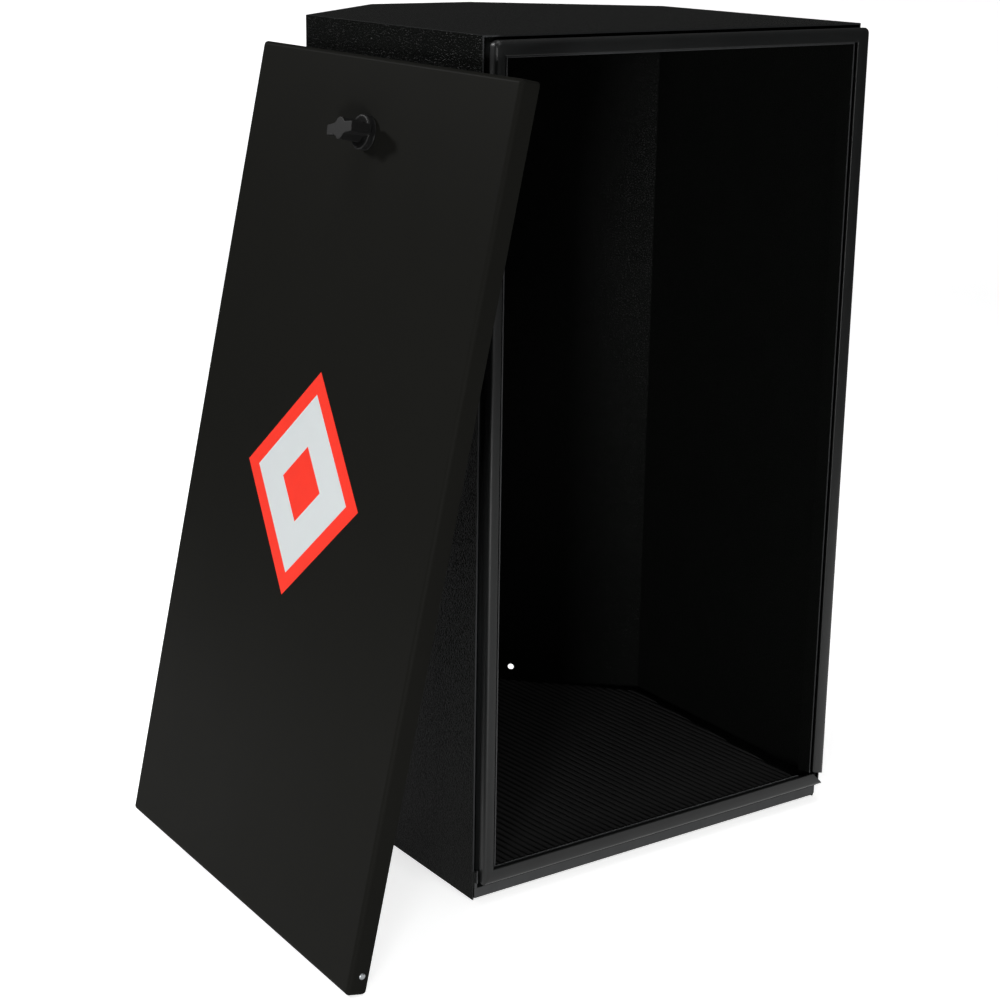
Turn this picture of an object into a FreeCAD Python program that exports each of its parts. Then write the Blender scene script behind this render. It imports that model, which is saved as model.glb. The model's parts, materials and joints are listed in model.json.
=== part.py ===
"""Gas bottle cabinet: a six-sided steel locker with a lift-off door standing against its left wall.

Millimetres. The origin is the centre of the footprint on the floor, +X to the right, +Y to the back
and +Z up. The front plane is the raw front edge of the side walls.
"""
import FreeCAD, Part
import math
import os
import Sketcher

SIZES = {
    # cabinet shell
    "cabinet_width": 332,
    "cabinet_depth": 332,
    "cabinet_height": 610,
    "side_depth": 228,
    "back_width": 94,
    "sheet_gauge": 1.2,
    "bend_radius": 3,
    "top_flange": 12,
    "pan_height": 17,
    "pan_return": 15,
    "fixing_hole": 5.5,
    "fixing_hole_height": 31,
    "fixing_hole_from_back": 43.5,
    # front frame
    "frame_inset": 14,
    "frame_recess": 3,
    "frame_leg": 15,
    "lip_reach": 8.6,
    "lip_foot": 26,
    "sill_height": 19.8,
    "ledge_foot": 1.5,
    "ledge_height": 10.2,
    "ledge_reach": 1.5,
    "ledge_corner_round": 2,
    "ledge_edge_round": 0.85,
    # door hooks at the foot of the frame
    "hook_width": 2.4,
    "hook_lift_gap": 0.7,
    "hook_seat_height": 22.5,
    "hook_nib_height": 2.5,
    # door seal
    "seal_width": 9.2,
    "seal_proud": 12,
    "seal_lip_gap": 1,
    "seal_end_gap": 1.6,
    "seal_end_slant": 22,
    # floor mat
    "mat_base": 2,
    "rib_height": 1.4,
    "rib_width": 3.4,
    "rib_pitch": 6.1,
    "rib_turn": 5,
    "mat_gap": 1,
    "mat_front_gap": 19,
    "mat_shoulder_gap": 10.5,
    "mat_back_gap": 1.5,
    # door
    "door_depth": 14,
    "door_side_gap": 4.1,
    "door_lid_gap": 0.4,
    "door_foot_height": 10.6,
    "seal_squeeze": 2,
    "door_corner_round": 4,
    "door_lower_flange": 8,
    "pin_diameter": 4,
    "pin_head_diameter": 4.8,
    "pin_head_height": 0.7,
    "pin_collar_diameter": 6,
    "pin_collar_height": 1,
    "pin_end_gap": 0.3,
    "pin_rest_gap": 0.1,
    # wing latch
    "latch_from_top": 51,
    "bezel_diameter": 24,
    "bezel_face_diameter": 19,
    "bezel_height": 5,
    "bezel_rim": 2,
    "gasket_height": 0.8,
    "barrel_diameter": 16,
    "barrel_end_gap": 1,
    "nut_flats": 22,
    "nut_height": 4.5,
    "spindle_diameter": 8,
    "spindle_square": 5.4,
    "knob_face": 21.8,
    "knob_hub_diameter": 15,
    "knob_wing_length": 32.5,
    "knob_wing_width": 6.6,
    "knob_root_width": 9.4,
    "knob_edge_bevel": 0.8,
    "knob_socket_depth": 10,
    "cam_gap": 0.4,
    "cam_gauge": 2,
    "cam_overlap": 5.6,
    "cam_width": 16,
    "washer_diameter": 12,
    "washer_height": 1,
    "screw_diameter": 4,
    "screw_length": 10,
    "screw_head_diameter": 8.5,
    "screw_crown_diameter": 6,
    "screw_head_height": 3,
    "wing_tilt": 11,
    # lozenge decal
    "decal_half_diagonal": 80,
    "decal_gauge": 0.2,
    "decal_from_middle": -3.3,
    "decal_over_middle": 3.3,
    # how the door stands against the left wall
    "lean_angle": 12.08,
    "lean_yaw": 1.46,
    "lean_overhang": 43,
    # clearances
    "running_clearance": 0.05,
    "pin_hole_clearance": 0.05,
    "seat_gap": 0.3,
}

doc = FreeCAD.newDocument("GasBottleCabinet")
sheet = doc.addObject("Spreadsheet::Sheet", "Sizes")
for row, (alias, number) in enumerate(SIZES.items(), 1):
    sheet.set(f"A{row}", alias)
    sheet.set(f"B{row}", str(number))
    sheet.setAlias(f"B{row}", alias)
doc.recompute()

# Places shared by several pieces, as expressions on the sheet
SIDE = "Sizes.cabinet_width / 2"
FRONT = "-Sizes.cabinet_depth / 2"
BACK = "Sizes.cabinet_depth / 2"
SHOULDER = "(Sizes.side_depth - Sizes.cabinet_depth / 2)"
CHAMFER_RUN = "((Sizes.cabinet_width - Sizes.back_width) / 2)"
CHAMFER_RISE = "(Sizes.cabinet_depth - Sizes.side_depth)"
CHAMFER_LENGTH = f"hypot({CHAMFER_RUN}; {CHAMFER_RISE})"
INNER_SIDE = f"({SIDE} - Sizes.sheet_gauge)"
OPENING_SIDE = f"({SIDE} - Sizes.frame_inset)"
OPENING_TOP = "(Sizes.cabinet_height - Sizes.frame_inset)"
UNDER_TOP = "(Sizes.cabinet_height - Sizes.sheet_gauge)"
WEB_FRONT = f"({FRONT} + Sizes.frame_recess)"
WEB_BACK = f"({WEB_FRONT} + Sizes.sheet_gauge)"
LEG_BACK = f"({WEB_BACK} + Sizes.frame_leg)"
LIP_FRONT = f"({FRONT} - Sizes.lip_reach)"
HOOK_SIDE = f"({SIDE} - Sizes.hook_width)"
HOOK_FOOT = "(Sizes.door_foot_height + Sizes.sheet_gauge + Sizes.hook_nib_height + Sizes.hook_lift_gap)"
# The closed door covers the walls' edges, laps over the lid and squeezes the seal
DOOR_WIDTH = "(Sizes.cabinet_width + 2 * (Sizes.door_side_gap + Sizes.sheet_gauge))"
DOOR_TOP = "(Sizes.cabinet_height + Sizes.door_lid_gap + Sizes.sheet_gauge)"
DOOR_HEIGHT = f"({DOOR_TOP} - Sizes.door_foot_height)"
DOOR_STANDOFF = "(Sizes.seal_proud - Sizes.seal_squeeze + Sizes.sheet_gauge)"
PIN_UP = "(Sizes.hook_seat_height + Sizes.pin_diameter / 2 + Sizes.pin_rest_gap - Sizes.door_foot_height)"
PIN_BACK = f"({DOOR_STANDOFF} - Sizes.pin_diameter / 2 - Sizes.pin_rest_gap)"
PIN_REACH = "(Sizes.door_side_gap + Sizes.hook_width - Sizes.pin_end_gap)"
LATCH_UP = f"({DOOR_HEIGHT} - Sizes.latch_from_top)"
BEZEL_FRONT = "(-Sizes.gasket_height - Sizes.bezel_height)"
CAM_FRONT = f"({DOOR_STANDOFF} + Sizes.frame_recess + Sizes.sheet_gauge + Sizes.cam_gap)"
CAM_BACK = f"({CAM_FRONT} + Sizes.cam_gauge)"
CAM_REACH = f"({OPENING_TOP} - ({DOOR_TOP} - Sizes.latch_from_top) + Sizes.cam_overlap)"
BARREL_REAR = f"({CAM_FRONT} - Sizes.barrel_end_gap)"


def size(expression):
    """The number that an expression on the sheet gives."""
    return float(sheet.evalExpression(expression))


def new_body(label):
    body = doc.addObject("PartDesign::Body", label)
    body.Label = label
    return body


def origin_plane(body, role):
    return next(f for f in body.Origin.OriginFeatures if f.Role == role)


def new_sketch(body, name, role, lift="0"):
    """An empty sketch on one of the body's origin planes, raised along that plane's normal."""
    sketch = body.newObject("Sketcher::SketchObject", name)
    sketch.AttachmentSupport = [(origin_plane(body, role), "")]
    sketch.MapMode = "FlatFace"
    sketch.setExpression("AttachmentOffset.Base.z", lift)
    return sketch


def tie(sketch, geometry, end, x, y):
    """Hold one point of a sketch at a place given by two expressions."""
    for kind, place in (("DistanceX", x), ("DistanceY", y)):
        index = sketch.addConstraint(Sketcher.Constraint(kind, -1, 1, geometry, end, size(place)))
        sketch.setExpression(f"Constraints[{index}]", place)


def outline(body, name, role, corners, lift="0"):
    """A closed straight-sided outline through corners, each a pair of expressions."""
    sketch = new_sketch(body, name, role, lift)
    points = [FreeCAD.Vector(size(x), size(y), 0) for x, y in corners]
    count = len(points)
    for i in range(count):
        sketch.addGeometry(Part.LineSegment(points[i], points[(i + 1) % count]), False)
    for i in range(count):
        sketch.addConstraint(Sketcher.Constraint("Coincident", i, 2, (i + 1) % count, 1))
    for i, (x, y) in enumerate(corners):
        tie(sketch, i, 1, x, y)
    return sketch


def rectangle(body, name, role, x0, x1, y0, y1, lift="0"):
    return outline(body, name, role, [(x0, y0), (x1, y0), (x1, y1), (x0, y1)], lift)


def circle(body, name, role, x, y, diameter, lift="0"):
    sketch = new_sketch(body, name, role, lift)
    centre = FreeCAD.Vector(size(x), size(y), 0)
    sketch.addGeometry(Part.Circle(centre, FreeCAD.Vector(0, 0, 1), size(diameter) / 2), False)
    tie(sketch, 0, 3, x, y)
    index = sketch.addConstraint(Sketcher.Constraint("Diameter", 0, size(diameter)))
    sketch.setExpression(f"Constraints[{index}]", diameter)
    return sketch


def pad(body, sketch, length, reverse=False):
    feature = body.newObject("PartDesign::Pad", sketch.Name + "Pad")
    feature.Profile = sketch
    feature.Reversed = reverse
    feature.setExpression("Length", length)
    sketch.Visibility = False
    doc.recompute()
    return feature


def pocket(body, sketch, length, reverse=False):
    """Cut a sketch into the body, and stop if nothing was cut away."""
    before = body.Shape.Volume
    feature = body.newObject("PartDesign::Pocket", sketch.Name + "Pocket")
    feature.Profile = sketch
    feature.Reversed = reverse
    feature.setExpression("Length", length)
    doc.recompute()
    if not body.Shape.Volume < before:
        raise RuntimeError(f"{body.Label}: {sketch.Name} cuts nothing")
    return feature


def revolve(body, sketch, axis_role):
    feature = body.newObject("PartDesign::Revolution", sketch.Name + "Turned")
    feature.Profile = sketch
    feature.ReferenceAxis = (next(f for f in body.Origin.OriginFeatures if f.Role == axis_role), [""])
    feature.Angle = 360
    doc.recompute()
    return feature


def edges_between(feature, test):
    """Names of the edges of a feature whose two ends pass a test."""
    names = []
    for number, edge in enumerate(feature.Shape.Edges, 1):
        ends = [vertex.Point for vertex in edge.Vertexes]
        if len(ends) == 2 and test(*ends):
            names.append(f"Edge{number}")
    return names


def round_edges(body, feature, test, radius):
    fillet = body.newObject("PartDesign::Fillet", feature.Name + "Round")
    fillet.Base = (feature, edges_between(feature, test))
    fillet.setExpression("Radius", radius)
    doc.recompute()
    return fillet


def bevel_edges(body, feature, test, width):
    chamfer = body.newObject("PartDesign::Chamfer", feature.Name + "Bevel")
    chamfer.Base = (feature, edges_between(feature, test))
    chamfer.setExpression("Size", width)
    doc.recompute()
    return chamfer


def shell(body, feature, open_face, gauge="Sizes.sheet_gauge"):
    """Turn a solid into folded sheet, open at the flat faces whose normal passes a test."""
    names = []
    for number, face in enumerate(feature.Shape.Faces, 1):
        if isinstance(face.Surface, Part.Plane) and open_face(face.normalAt(0, 0)):
            names.append(f"Face{number}")
    wall = body.newObject("PartDesign::Thickness", feature.Name + "Sheet")
    wall.Base = (feature, names)
    wall.Reversed = True
    wall.Join = "Intersection"
    wall.setExpression("Value", gauge)
    doc.recompute()
    return wall


def upright(a, b):
    return abs(a.x - b.x) < 1e-6 and abs(a.y - b.y) < 1e-6


def plan(inset, front):
    """The six corners of the cabinet's plan, drawn in from its walls, with its front edge at a place."""
    side = f"{SIDE} - ({inset})"
    shoulder = f"{SHOULDER} - ({inset}) * ({CHAMFER_LENGTH} - {CHAMFER_RISE}) / {CHAMFER_RUN}"
    corner = f"Sizes.back_width / 2 - ({inset}) * ({CHAMFER_LENGTH} - {CHAMFER_RUN}) / {CHAMFER_RISE}"
    back = f"{BACK} - ({inset})"
    return [
        (f"-({side})", front),
        (side, front),
        (side, shoulder),
        (corner, back),
        (f"-({corner})", back),
        (f"-({side})", shoulder),
    ]


def rear_bends(body, block, radius):
    """Round the four upright folds behind the front edge."""
    front = min(vertex.Y for vertex in block.Shape.Vertexes)
    return round_edges(body, block, lambda a, b: upright(a, b) and a.y > front + 1, radius)


def make_body_wrap():
    """Side walls, rear chamfers and back, folded from one sheet, with a fixing hole low in each chamfer."""
    body = new_body("body_wrap")
    block = pad(body, outline(body, "WrapPlan", "XY_Plane", plan("0", FRONT)), "Sizes.cabinet_height")
    folded = rear_bends(body, block, "Sizes.bend_radius")
    shell(body, folded, lambda n: abs(n.z) > 0.9 or n.y < -0.9)
    turn = math.degrees(math.atan2(size(CHAMFER_RISE), size(CHAMFER_RUN)))
    along = f"({CHAMFER_LENGTH} - Sizes.fixing_hole_from_back)"
    for name, hand in (("Left", -1), ("Right", 1)):
        # The sketch lies in the chamfer's outer face, measured from the shoulder towards the back
        sketch = circle(body, f"FixingHole{name}", "XZ_Plane", f"{-hand} * {along}",
                        "Sizes.fixing_hole_height", "Sizes.fixing_hole")
        sketch.setExpression("AttachmentOffset.Base.z", None)
        sketch.AttachmentOffset = FreeCAD.Placement(
            FreeCAD.Vector(hand * size(SIDE), 0, -size(SHOULDER)),
            FreeCAD.Rotation(FreeCAD.Vector(0, 1, 0), -hand * turn),
        )
        doc.recompute()
        cut = body.newObject("PartDesign::Pocket", f"FixingCut{name}")
        cut.Profile = sketch
        cut.Midplane = True
        cut.setExpression("Length", "6 * Sizes.sheet_gauge")
        doc.recompute()
    return body


def make_top_panel():
    """Flat lid plate with flanges turned down inside the walls, notched clear of the front frame."""
    body = new_body("top_panel")
    lower = "Sizes.cabinet_height - Sizes.top_flange"
    block = pad(body, outline(body, "TopPlan", "XY_Plane", plan("Sizes.sheet_gauge", FRONT), lower),
                "Sizes.top_flange")
    folded = rear_bends(body, block, "Sizes.bend_radius")
    shell(body, folded, lambda n: n.z < -0.9 or n.y < -0.9)
    notch = rectangle(body, "FrameNotch", "XY_Plane", f"-{SIDE}", SIDE, FRONT, LEG_BACK, lower)
    pocket(body, notch, "Sizes.top_flange - Sizes.sheet_gauge", reverse=True)
    return body


def make_base_pan():
    """Raised floor with flanges turned down to the ground and returned inwards as a flat rim."""
    body = new_body("base_pan")
    pad_plan = plan("Sizes.sheet_gauge", WEB_BACK)
    block = pad(body, outline(body, "PanPlan", "XY_Plane", pad_plan), "Sizes.pan_height")
    rear_bends(body, block, "Sizes.bend_radius")
    hollow_plan = plan("2 * Sizes.sheet_gauge", f"{WEB_BACK} + Sizes.sheet_gauge")
    hollow = outline(body, "PanHollow", "XY_Plane", hollow_plan, "Sizes.sheet_gauge")
    pocket(body, hollow, "Sizes.pan_height - 2 * Sizes.sheet_gauge", reverse=True)
    rim_plan = plan("Sizes.sheet_gauge + Sizes.pan_return", f"{WEB_BACK} + Sizes.pan_return")
    rim = outline(body, "PanRim", "XY_Plane", rim_plan)
    pocket(body, rim, "Sizes.sheet_gauge", reverse=True)
    return body


def make_jamb(label, hand):
    """Upright frame rail: a leg along the wall, a recessed web and a lip turned forward at the opening."""
    body = new_body(label)

    def x_pair(outer, inner):
        return sorted((f"{hand} * ({outer})", f"{hand} * ({inner})"), key=size)

    web = rectangle(body, "Web", "XY_Plane", *x_pair(INNER_SIDE, OPENING_SIDE), WEB_FRONT, WEB_BACK,
                    "Sizes.ledge_height")
    pad(body, web, f"{UNDER_TOP} - Sizes.ledge_height")
    leg = rectangle(body, "Leg", "XY_Plane", *x_pair(INNER_SIDE, f"{INNER_SIDE} - Sizes.sheet_gauge"),
                    WEB_FRONT, LEG_BACK, "Sizes.pan_height")
    pad(body, leg, f"{UNDER_TOP} - Sizes.pan_height")
    lip = rectangle(body, "Lip", "XY_Plane", *x_pair(f"{OPENING_SIDE} + Sizes.sheet_gauge", OPENING_SIDE),
                    LIP_FRONT, WEB_BACK, "Sizes.lip_foot")
    pad(body, lip, f"{OPENING_TOP} - Sizes.lip_foot")
    return body


def cross_rail(body, name, half_length, corners):
    """A folded section in the YZ plane, run from side to side of the cabinet."""
    sketch = outline(body, name, "YZ_Plane", corners)
    feature = pad(body, sketch, f"2 * {half_length}")
    feature.Midplane = True
    doc.recompute()
    return feature


def box_corners(y0, y1, z0, z1):
    return [(y0, z0), (y1, z0), (y1, z1), (y0, z1)]


def make_head_rail():
    """Top frame rail, hung under the lid plate between the jambs."""
    body = new_body("head_rail")
    lip_top = f"{OPENING_TOP} + Sizes.sheet_gauge"
    leg_bottom = f"{UNDER_TOP} - Sizes.sheet_gauge"
    section = [
        (WEB_FRONT, OPENING_TOP),
        (WEB_BACK, OPENING_TOP),
        (WEB_BACK, leg_bottom),
        (LEG_BACK, leg_bottom),
        (LEG_BACK, UNDER_TOP),
        (WEB_FRONT, UNDER_TOP),
    ]
    cross_rail(body, "WebAndLeg", OPENING_SIDE, section)
    cross_rail(body, "Lip", f"({OPENING_SIDE} + Sizes.sheet_gauge)",
               box_corners(LIP_FRONT, WEB_FRONT, OPENING_TOP, lip_top))
    return body


def make_sill_rail():
    """Bottom frame rail: an upright web with a raw upper edge, over a channel with a rounded nose."""
    body = new_body("sill_rail")
    gauge = "Sizes.sheet_gauge"
    nose_back = f"({FRONT} - Sizes.ledge_reach + {gauge})"
    plate = rectangle(body, "Nose", "XZ_Plane", f"-{SIDE}", SIDE, "Sizes.ledge_foot", "Sizes.ledge_height",
                      f"-{nose_back}")
    nose = pad(body, plate, gauge)
    foot = size("Sizes.ledge_foot")
    front = size(f"{nose_back} - {gauge}")
    rounded = round_edges(body, nose, lambda a, b: abs(a.z - foot) < 1e-6 and abs(b.z - foot) < 1e-6
                          and abs(a.x - b.x) < 1e-6, "Sizes.ledge_corner_round")
    round_edges(body, rounded, lambda a, b: abs(a.y - front) < 1e-6 and abs(b.y - front) < 1e-6,
                "Sizes.ledge_edge_round")
    under = "Sizes.ledge_height - Sizes.sheet_gauge"
    over = "Sizes.ledge_foot + Sizes.sheet_gauge"
    cross_rail(body, "Ledge", INNER_SIDE, box_corners(nose_back, WEB_BACK, under, "Sizes.ledge_height"))
    cross_rail(body, "Sole", f"({INNER_SIDE} - Sizes.ledge_corner_round)",
               box_corners(nose_back, WEB_BACK, "Sizes.ledge_foot", over))
    cross_rail(body, "Web", OPENING_SIDE,
               box_corners(WEB_FRONT, WEB_BACK, "Sizes.ledge_height", "Sizes.sill_height"))
    return body


def make_door_hook(label, hand):
    """Small hook in the lower corner of the frame: a door pin drops in behind its nib.

    Its block stands on the ledge and closes the foot of the groove between wall and seal. The shelf and nib
    are a single thickness that carries the wall's line forward, above the door's lower flange.
    """
    body = new_body(label)
    seat = "Sizes.hook_seat_height"
    block_front = f"({FRONT} - Sizes.ledge_reach - Sizes.sheet_gauge)"
    nib_back = f"({FRONT} - Sizes.pin_diameter - 2 * Sizes.pin_rest_gap)"
    nib_front = f"({nib_back} - Sizes.sheet_gauge)"

    def x_pair(outer, inner):
        return sorted((f"{hand} * ({outer})", f"{hand} * ({inner})"), key=size)

    ledge = "Sizes.ledge_height"
    leg = rectangle(body, "Leg", "XY_Plane", *x_pair(INNER_SIDE, HOOK_SIDE), FRONT, WEB_FRONT, ledge)
    pad(body, leg, f"{seat} - {ledge}")
    block = rectangle(body, "Block", "XY_Plane", *x_pair(SIDE, HOOK_SIDE), block_front, FRONT, ledge)
    pad(body, block, f"{seat} - {ledge}")
    shelf = rectangle(body, "Shelf", "XY_Plane", *x_pair(SIDE, INNER_SIDE), nib_front, block_front,
                      HOOK_FOOT)
    pad(body, shelf, f"{seat} - {HOOK_FOOT}")
    nib = rectangle(body, "Nib", "XY_Plane", *x_pair(SIDE, INNER_SIDE), nib_front, nib_back, seat)
    pad(body, nib, "Sizes.hook_nib_height")
    return body


def seal_run(start, end, mitre_start, mitre_end):
    """One straight length of D-section seal between two corners of its inner edge, cut by two planes.

    start and end are corners in the web's front plane; the section stands outward from that edge.
    Each mitre is None or a point and a normal that points at the waste.
    """
    width = size("Sizes.seal_width")
    rise = size("Sizes.seal_proud + Sizes.frame_recess")
    along = (end - start).normalize()
    proud = FreeCAD.Vector(0, -1, 0)
    out = proud.cross(along)
    spare = along * (2 * width)
    radius = width / 2
    shoulder = rise - radius
    corner = start - spare

    def at(across, height):
        return corner + out * across + proud * height

    slant = radius * math.sqrt(0.5)
    crown = at(radius, rise)
    edges = [
        Part.LineSegment(at(0, 0), at(0, shoulder)).toShape(),
        Part.Arc(at(0, shoulder), at(radius - slant, shoulder + slant), crown).toShape(),
        Part.Arc(crown, at(radius + slant, shoulder + slant), at(width, shoulder)).toShape(),
        Part.LineSegment(at(width, shoulder), at(width, 0)).toShape(),
        Part.LineSegment(at(width, 0), at(0, 0)).toShape(),
    ]
    run = Part.Face(Part.Wire(edges)).extrude(end - start + spare * 2)
    for point, normal in (mitre_start, mitre_end):
        reach = 8 * width
        waste = Part.makePlane(reach, reach, point, normal)
        waste.translate(point - waste.CenterOfMass)
        run = run.cut(waste.extrude(FreeCAD.Vector(normal).normalize() * reach))
    return run


def make_door_seal():
    """Rubber D-section round the frame, mitred at three corners, with its two ends trimmed at the fourth."""
    gap = size("Sizes.sheet_gauge + Sizes.seal_lip_gap")
    face = size(WEB_FRONT)
    x = size(OPENING_SIDE) + gap
    low = size("Sizes.lip_foot") - gap
    high = size(OPENING_TOP) + gap
    lower_left = FreeCAD.Vector(-x, face, low)
    upper_left = FreeCAD.Vector(-x, face, high)
    upper_right = FreeCAD.Vector(x, face, high)
    lower_right = FreeCAD.Vector(x, face, low)
    rising = FreeCAD.Vector(1, 0, 1)
    falling = FreeCAD.Vector(1, 0, -1)
    trim = lower_right + FreeCAD.Vector(0, 0, size("Sizes.seal_end_gap"))
    slant = math.radians(size("Sizes.seal_end_slant"))
    downward = FreeCAD.Vector(-math.sin(slant), 0, -math.cos(slant))
    bottom = seal_run(lower_right, lower_left, (lower_right, rising), (lower_left, -falling))
    left = seal_run(lower_left, upper_left, (lower_left, falling), (upper_left, rising))
    top = seal_run(upper_left, upper_right, (upper_left, -rising), (upper_right, falling))
    right = seal_run(upper_right, lower_right, (upper_right, -falling), (trim, downward))
    seal = doc.addObject("Part::Feature", "door_seal")
    seal.Label = "door_seal"
    seal.Shape = bottom.fuse([left, top, right]).removeSplitter()
    return seal


def make_floor_mat():
    """Loose rubber mat on the floor pan, cut short of the walls, its ribs a few degrees off square."""
    body = new_body("floor_mat")
    front = f"{WEB_BACK} + Sizes.mat_gap"
    back = f"{BACK} - Sizes.sheet_gauge - Sizes.mat_gap"
    front_half = f"({INNER_SIDE} - Sizes.mat_front_gap)"
    shoulder_half = f"({INNER_SIDE} - Sizes.mat_shoulder_gap)"
    shoulder = f"{SHOULDER} - Sizes.mat_shoulder_gap"
    back_half = "(Sizes.back_width / 2 - Sizes.mat_back_gap)"
    thickness = "Sizes.mat_base + Sizes.rib_height"
    mat_plan = outline(body, "MatPlan", "XY_Plane", [
        (f"-{front_half}", front),
        (front_half, front),
        (shoulder_half, shoulder),
        (back_half, back),
        (f"-{back_half}", back),
        (f"-{shoulder_half}", shoulder),
    ], "Sizes.pan_height")
    rear_bends(body, pad(body, mat_plan, thickness), "Sizes.bend_radius")
    count = int(size(f"(2 * {shoulder_half} + Sizes.rib_pitch) / Sizes.rib_pitch"))
    first = f"-({count} - 1) * Sizes.rib_pitch / 2"
    groove_half = "(Sizes.rib_pitch - Sizes.rib_width) / 2"
    groove = rectangle(body, "Groove", "XZ_Plane", f"{first} - {groove_half}", f"{first} + {groove_half}",
                       "Sizes.pan_height + Sizes.mat_base", f"Sizes.pan_height + {thickness}")
    groove.setExpression("AttachmentOffset.Base.z", None)
    groove.AttachmentOffset = FreeCAD.Placement(
        FreeCAD.Vector(),
        FreeCAD.Rotation(FreeCAD.Vector(0, 1, 0), size("Sizes.rib_turn")),
    )
    doc.recompute()
    cut = body.newObject("PartDesign::Pocket", "GrooveCut")
    cut.Profile = groove
    cut.Midplane = True
    cut.setExpression("Length", "2 * Sizes.cabinet_depth")
    doc.recompute()
    pattern = body.newObject("PartDesign::LinearPattern", "Ribs")
    pattern.Originals = [cut]
    pattern.Direction = (groove, ["H_Axis"])
    pattern.setExpression("Length", f"({count} - 1) * Sizes.rib_pitch")
    pattern.Occurrences = count
    body.Tip = pattern
    doc.recompute()
    return body


def make_door_panel():
    """Door tray: a face with flanges folded back on all four sides, holed for the latch and the two pins."""
    body = new_body("door_panel")
    half = f"{DOOR_WIDTH} / 2"
    depth = size("Sizes.door_depth")
    block = pad(body, rectangle(body, "DoorPlan", "XY_Plane", f"-{half}", half, "0", "Sizes.door_depth"),
                DOOR_HEIGHT)
    folded = round_edges(body, block, lambda a, b: min(a.y, b.y) < depth - 1e-6, "Sizes.bend_radius")
    shell(body, folded, lambda n: n.y > 0.9)
    # The lower flange is shallower than the others, so that it passes in front of the walls and hooks
    inner = f"{half} - Sizes.bend_radius"
    lower = rectangle(body, "LowerFlange", "XY_Plane", f"-({inner})", inner, "Sizes.door_lower_flange",
                      "Sizes.door_depth")
    pocket(body, lower, "Sizes.sheet_gauge", reverse=True)
    # The lower back corner of each side flange is rounded off
    sketch = new_sketch(body, "FootRound", "YZ_Plane")
    reach = size("Sizes.door_corner_round")
    corner = FreeCAD.Vector(depth, 0, 0)
    start = corner - FreeCAD.Vector(reach, 0, 0)
    end = corner + FreeCAD.Vector(0, reach, 0)
    centre = FreeCAD.Vector(depth - reach, reach, 0)
    sketch.addGeometry(Part.LineSegment(start, corner), False)
    sketch.addGeometry(Part.LineSegment(corner, end), False)
    round_off = Part.Circle(centre, FreeCAD.Vector(0, 0, 1), reach)
    sketch.addGeometry(Part.ArcOfCircle(round_off, -math.pi / 2, 0), False)
    for first, first_end, second, second_end in ((0, 2, 1, 1), (1, 2, 2, 2), (2, 1, 0, 1)):
        sketch.addConstraint(Sketcher.Constraint("Coincident", first, first_end, second, second_end))
    tie(sketch, 0, 1, "Sizes.door_depth - Sizes.door_corner_round", "0")
    tie(sketch, 1, 1, "Sizes.door_depth", "0")
    tie(sketch, 1, 2, "Sizes.door_depth", "Sizes.door_corner_round")
    index = sketch.addConstraint(Sketcher.Constraint("Radius", 2, reach))
    sketch.setExpression(f"Constraints[{index}]", "Sizes.door_corner_round")
    foot = body.newObject("PartDesign::Pocket", "FootCut")
    foot.Profile = sketch
    foot.Midplane = True
    foot.setExpression("Length", f"2 * {DOOR_WIDTH}")
    doc.recompute()
    barrel_hole = "Sizes.barrel_diameter + 2 * Sizes.seat_gap"
    latch = circle(body, "LatchHole", "XZ_Plane", "0", LATCH_UP, barrel_hole)
    pocket(body, latch, "2 * Sizes.sheet_gauge")
    pin_hole = "Sizes.pin_diameter + 2 * Sizes.pin_hole_clearance"
    pins = circle(body, "PinHoles", "YZ_Plane", PIN_BACK, PIN_UP, pin_hole)
    bored = body.newObject("PartDesign::Pocket", "PinCut")
    bored.Profile = pins
    bored.Midplane = True
    bored.setExpression("Length", f"2 * {DOOR_WIDTH}")
    doc.recompute()
    return body


def make_door_pin(label, hand):
    """Steel pin riveted through a side flange, reaching inwards to drop into its hook."""
    body = new_body(label)
    flange = f"{DOOR_WIDTH} / 2"
    inside = f"{flange} - Sizes.sheet_gauge"
    shank = "Sizes.pin_diameter / 2"
    head = "Sizes.pin_head_diameter / 2"
    collar = "Sizes.pin_collar_diameter / 2"
    collar_end = f"{inside} - Sizes.pin_collar_height"
    tip = f"{inside} - {PIN_REACH}"
    crown = f"{flange} + Sizes.pin_head_height"
    profile = [
        (tip, "0"),
        (crown, "0"),
        (crown, f"{head} - Sizes.pin_head_height"),
        (flange, head),
        (flange, shank),
        (inside, shank),
        (inside, collar),
        (collar_end, collar),
        (collar_end, shank),
        (tip, shank),
    ]
    corners = [(f"{hand} * ({x})", radius) for x, radius in profile]
    revolve(body, outline(body, "PinSection", "XY_Plane", corners), "X_Axis")
    return body


def turned(label, profile):
    """A round latch piece about the latch axis: profile is pairs of radius and depth into the door."""
    body = new_body(label)
    revolve(body, outline(body, "Section", "XY_Plane", profile), "Y_Axis")
    return body


def make_latch_body():
    """Escutcheon and threaded barrel of the latch, bored for the spindle."""
    bore = "Sizes.spindle_diameter / 2 + Sizes.running_clearance"
    rim = "Sizes.bezel_diameter / 2"
    face = "Sizes.bezel_face_diameter / 2"
    seat = "-Sizes.gasket_height"
    return turned("latch_body", [
        (bore, BEZEL_FRONT),
        (face, BEZEL_FRONT),
        (rim, f"{seat} - Sizes.bezel_rim"),
        (rim, seat),
        ("Sizes.barrel_diameter / 2", seat),
        ("Sizes.barrel_diameter / 2", BARREL_REAR),
        (bore, BARREL_REAR),
    ])


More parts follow.
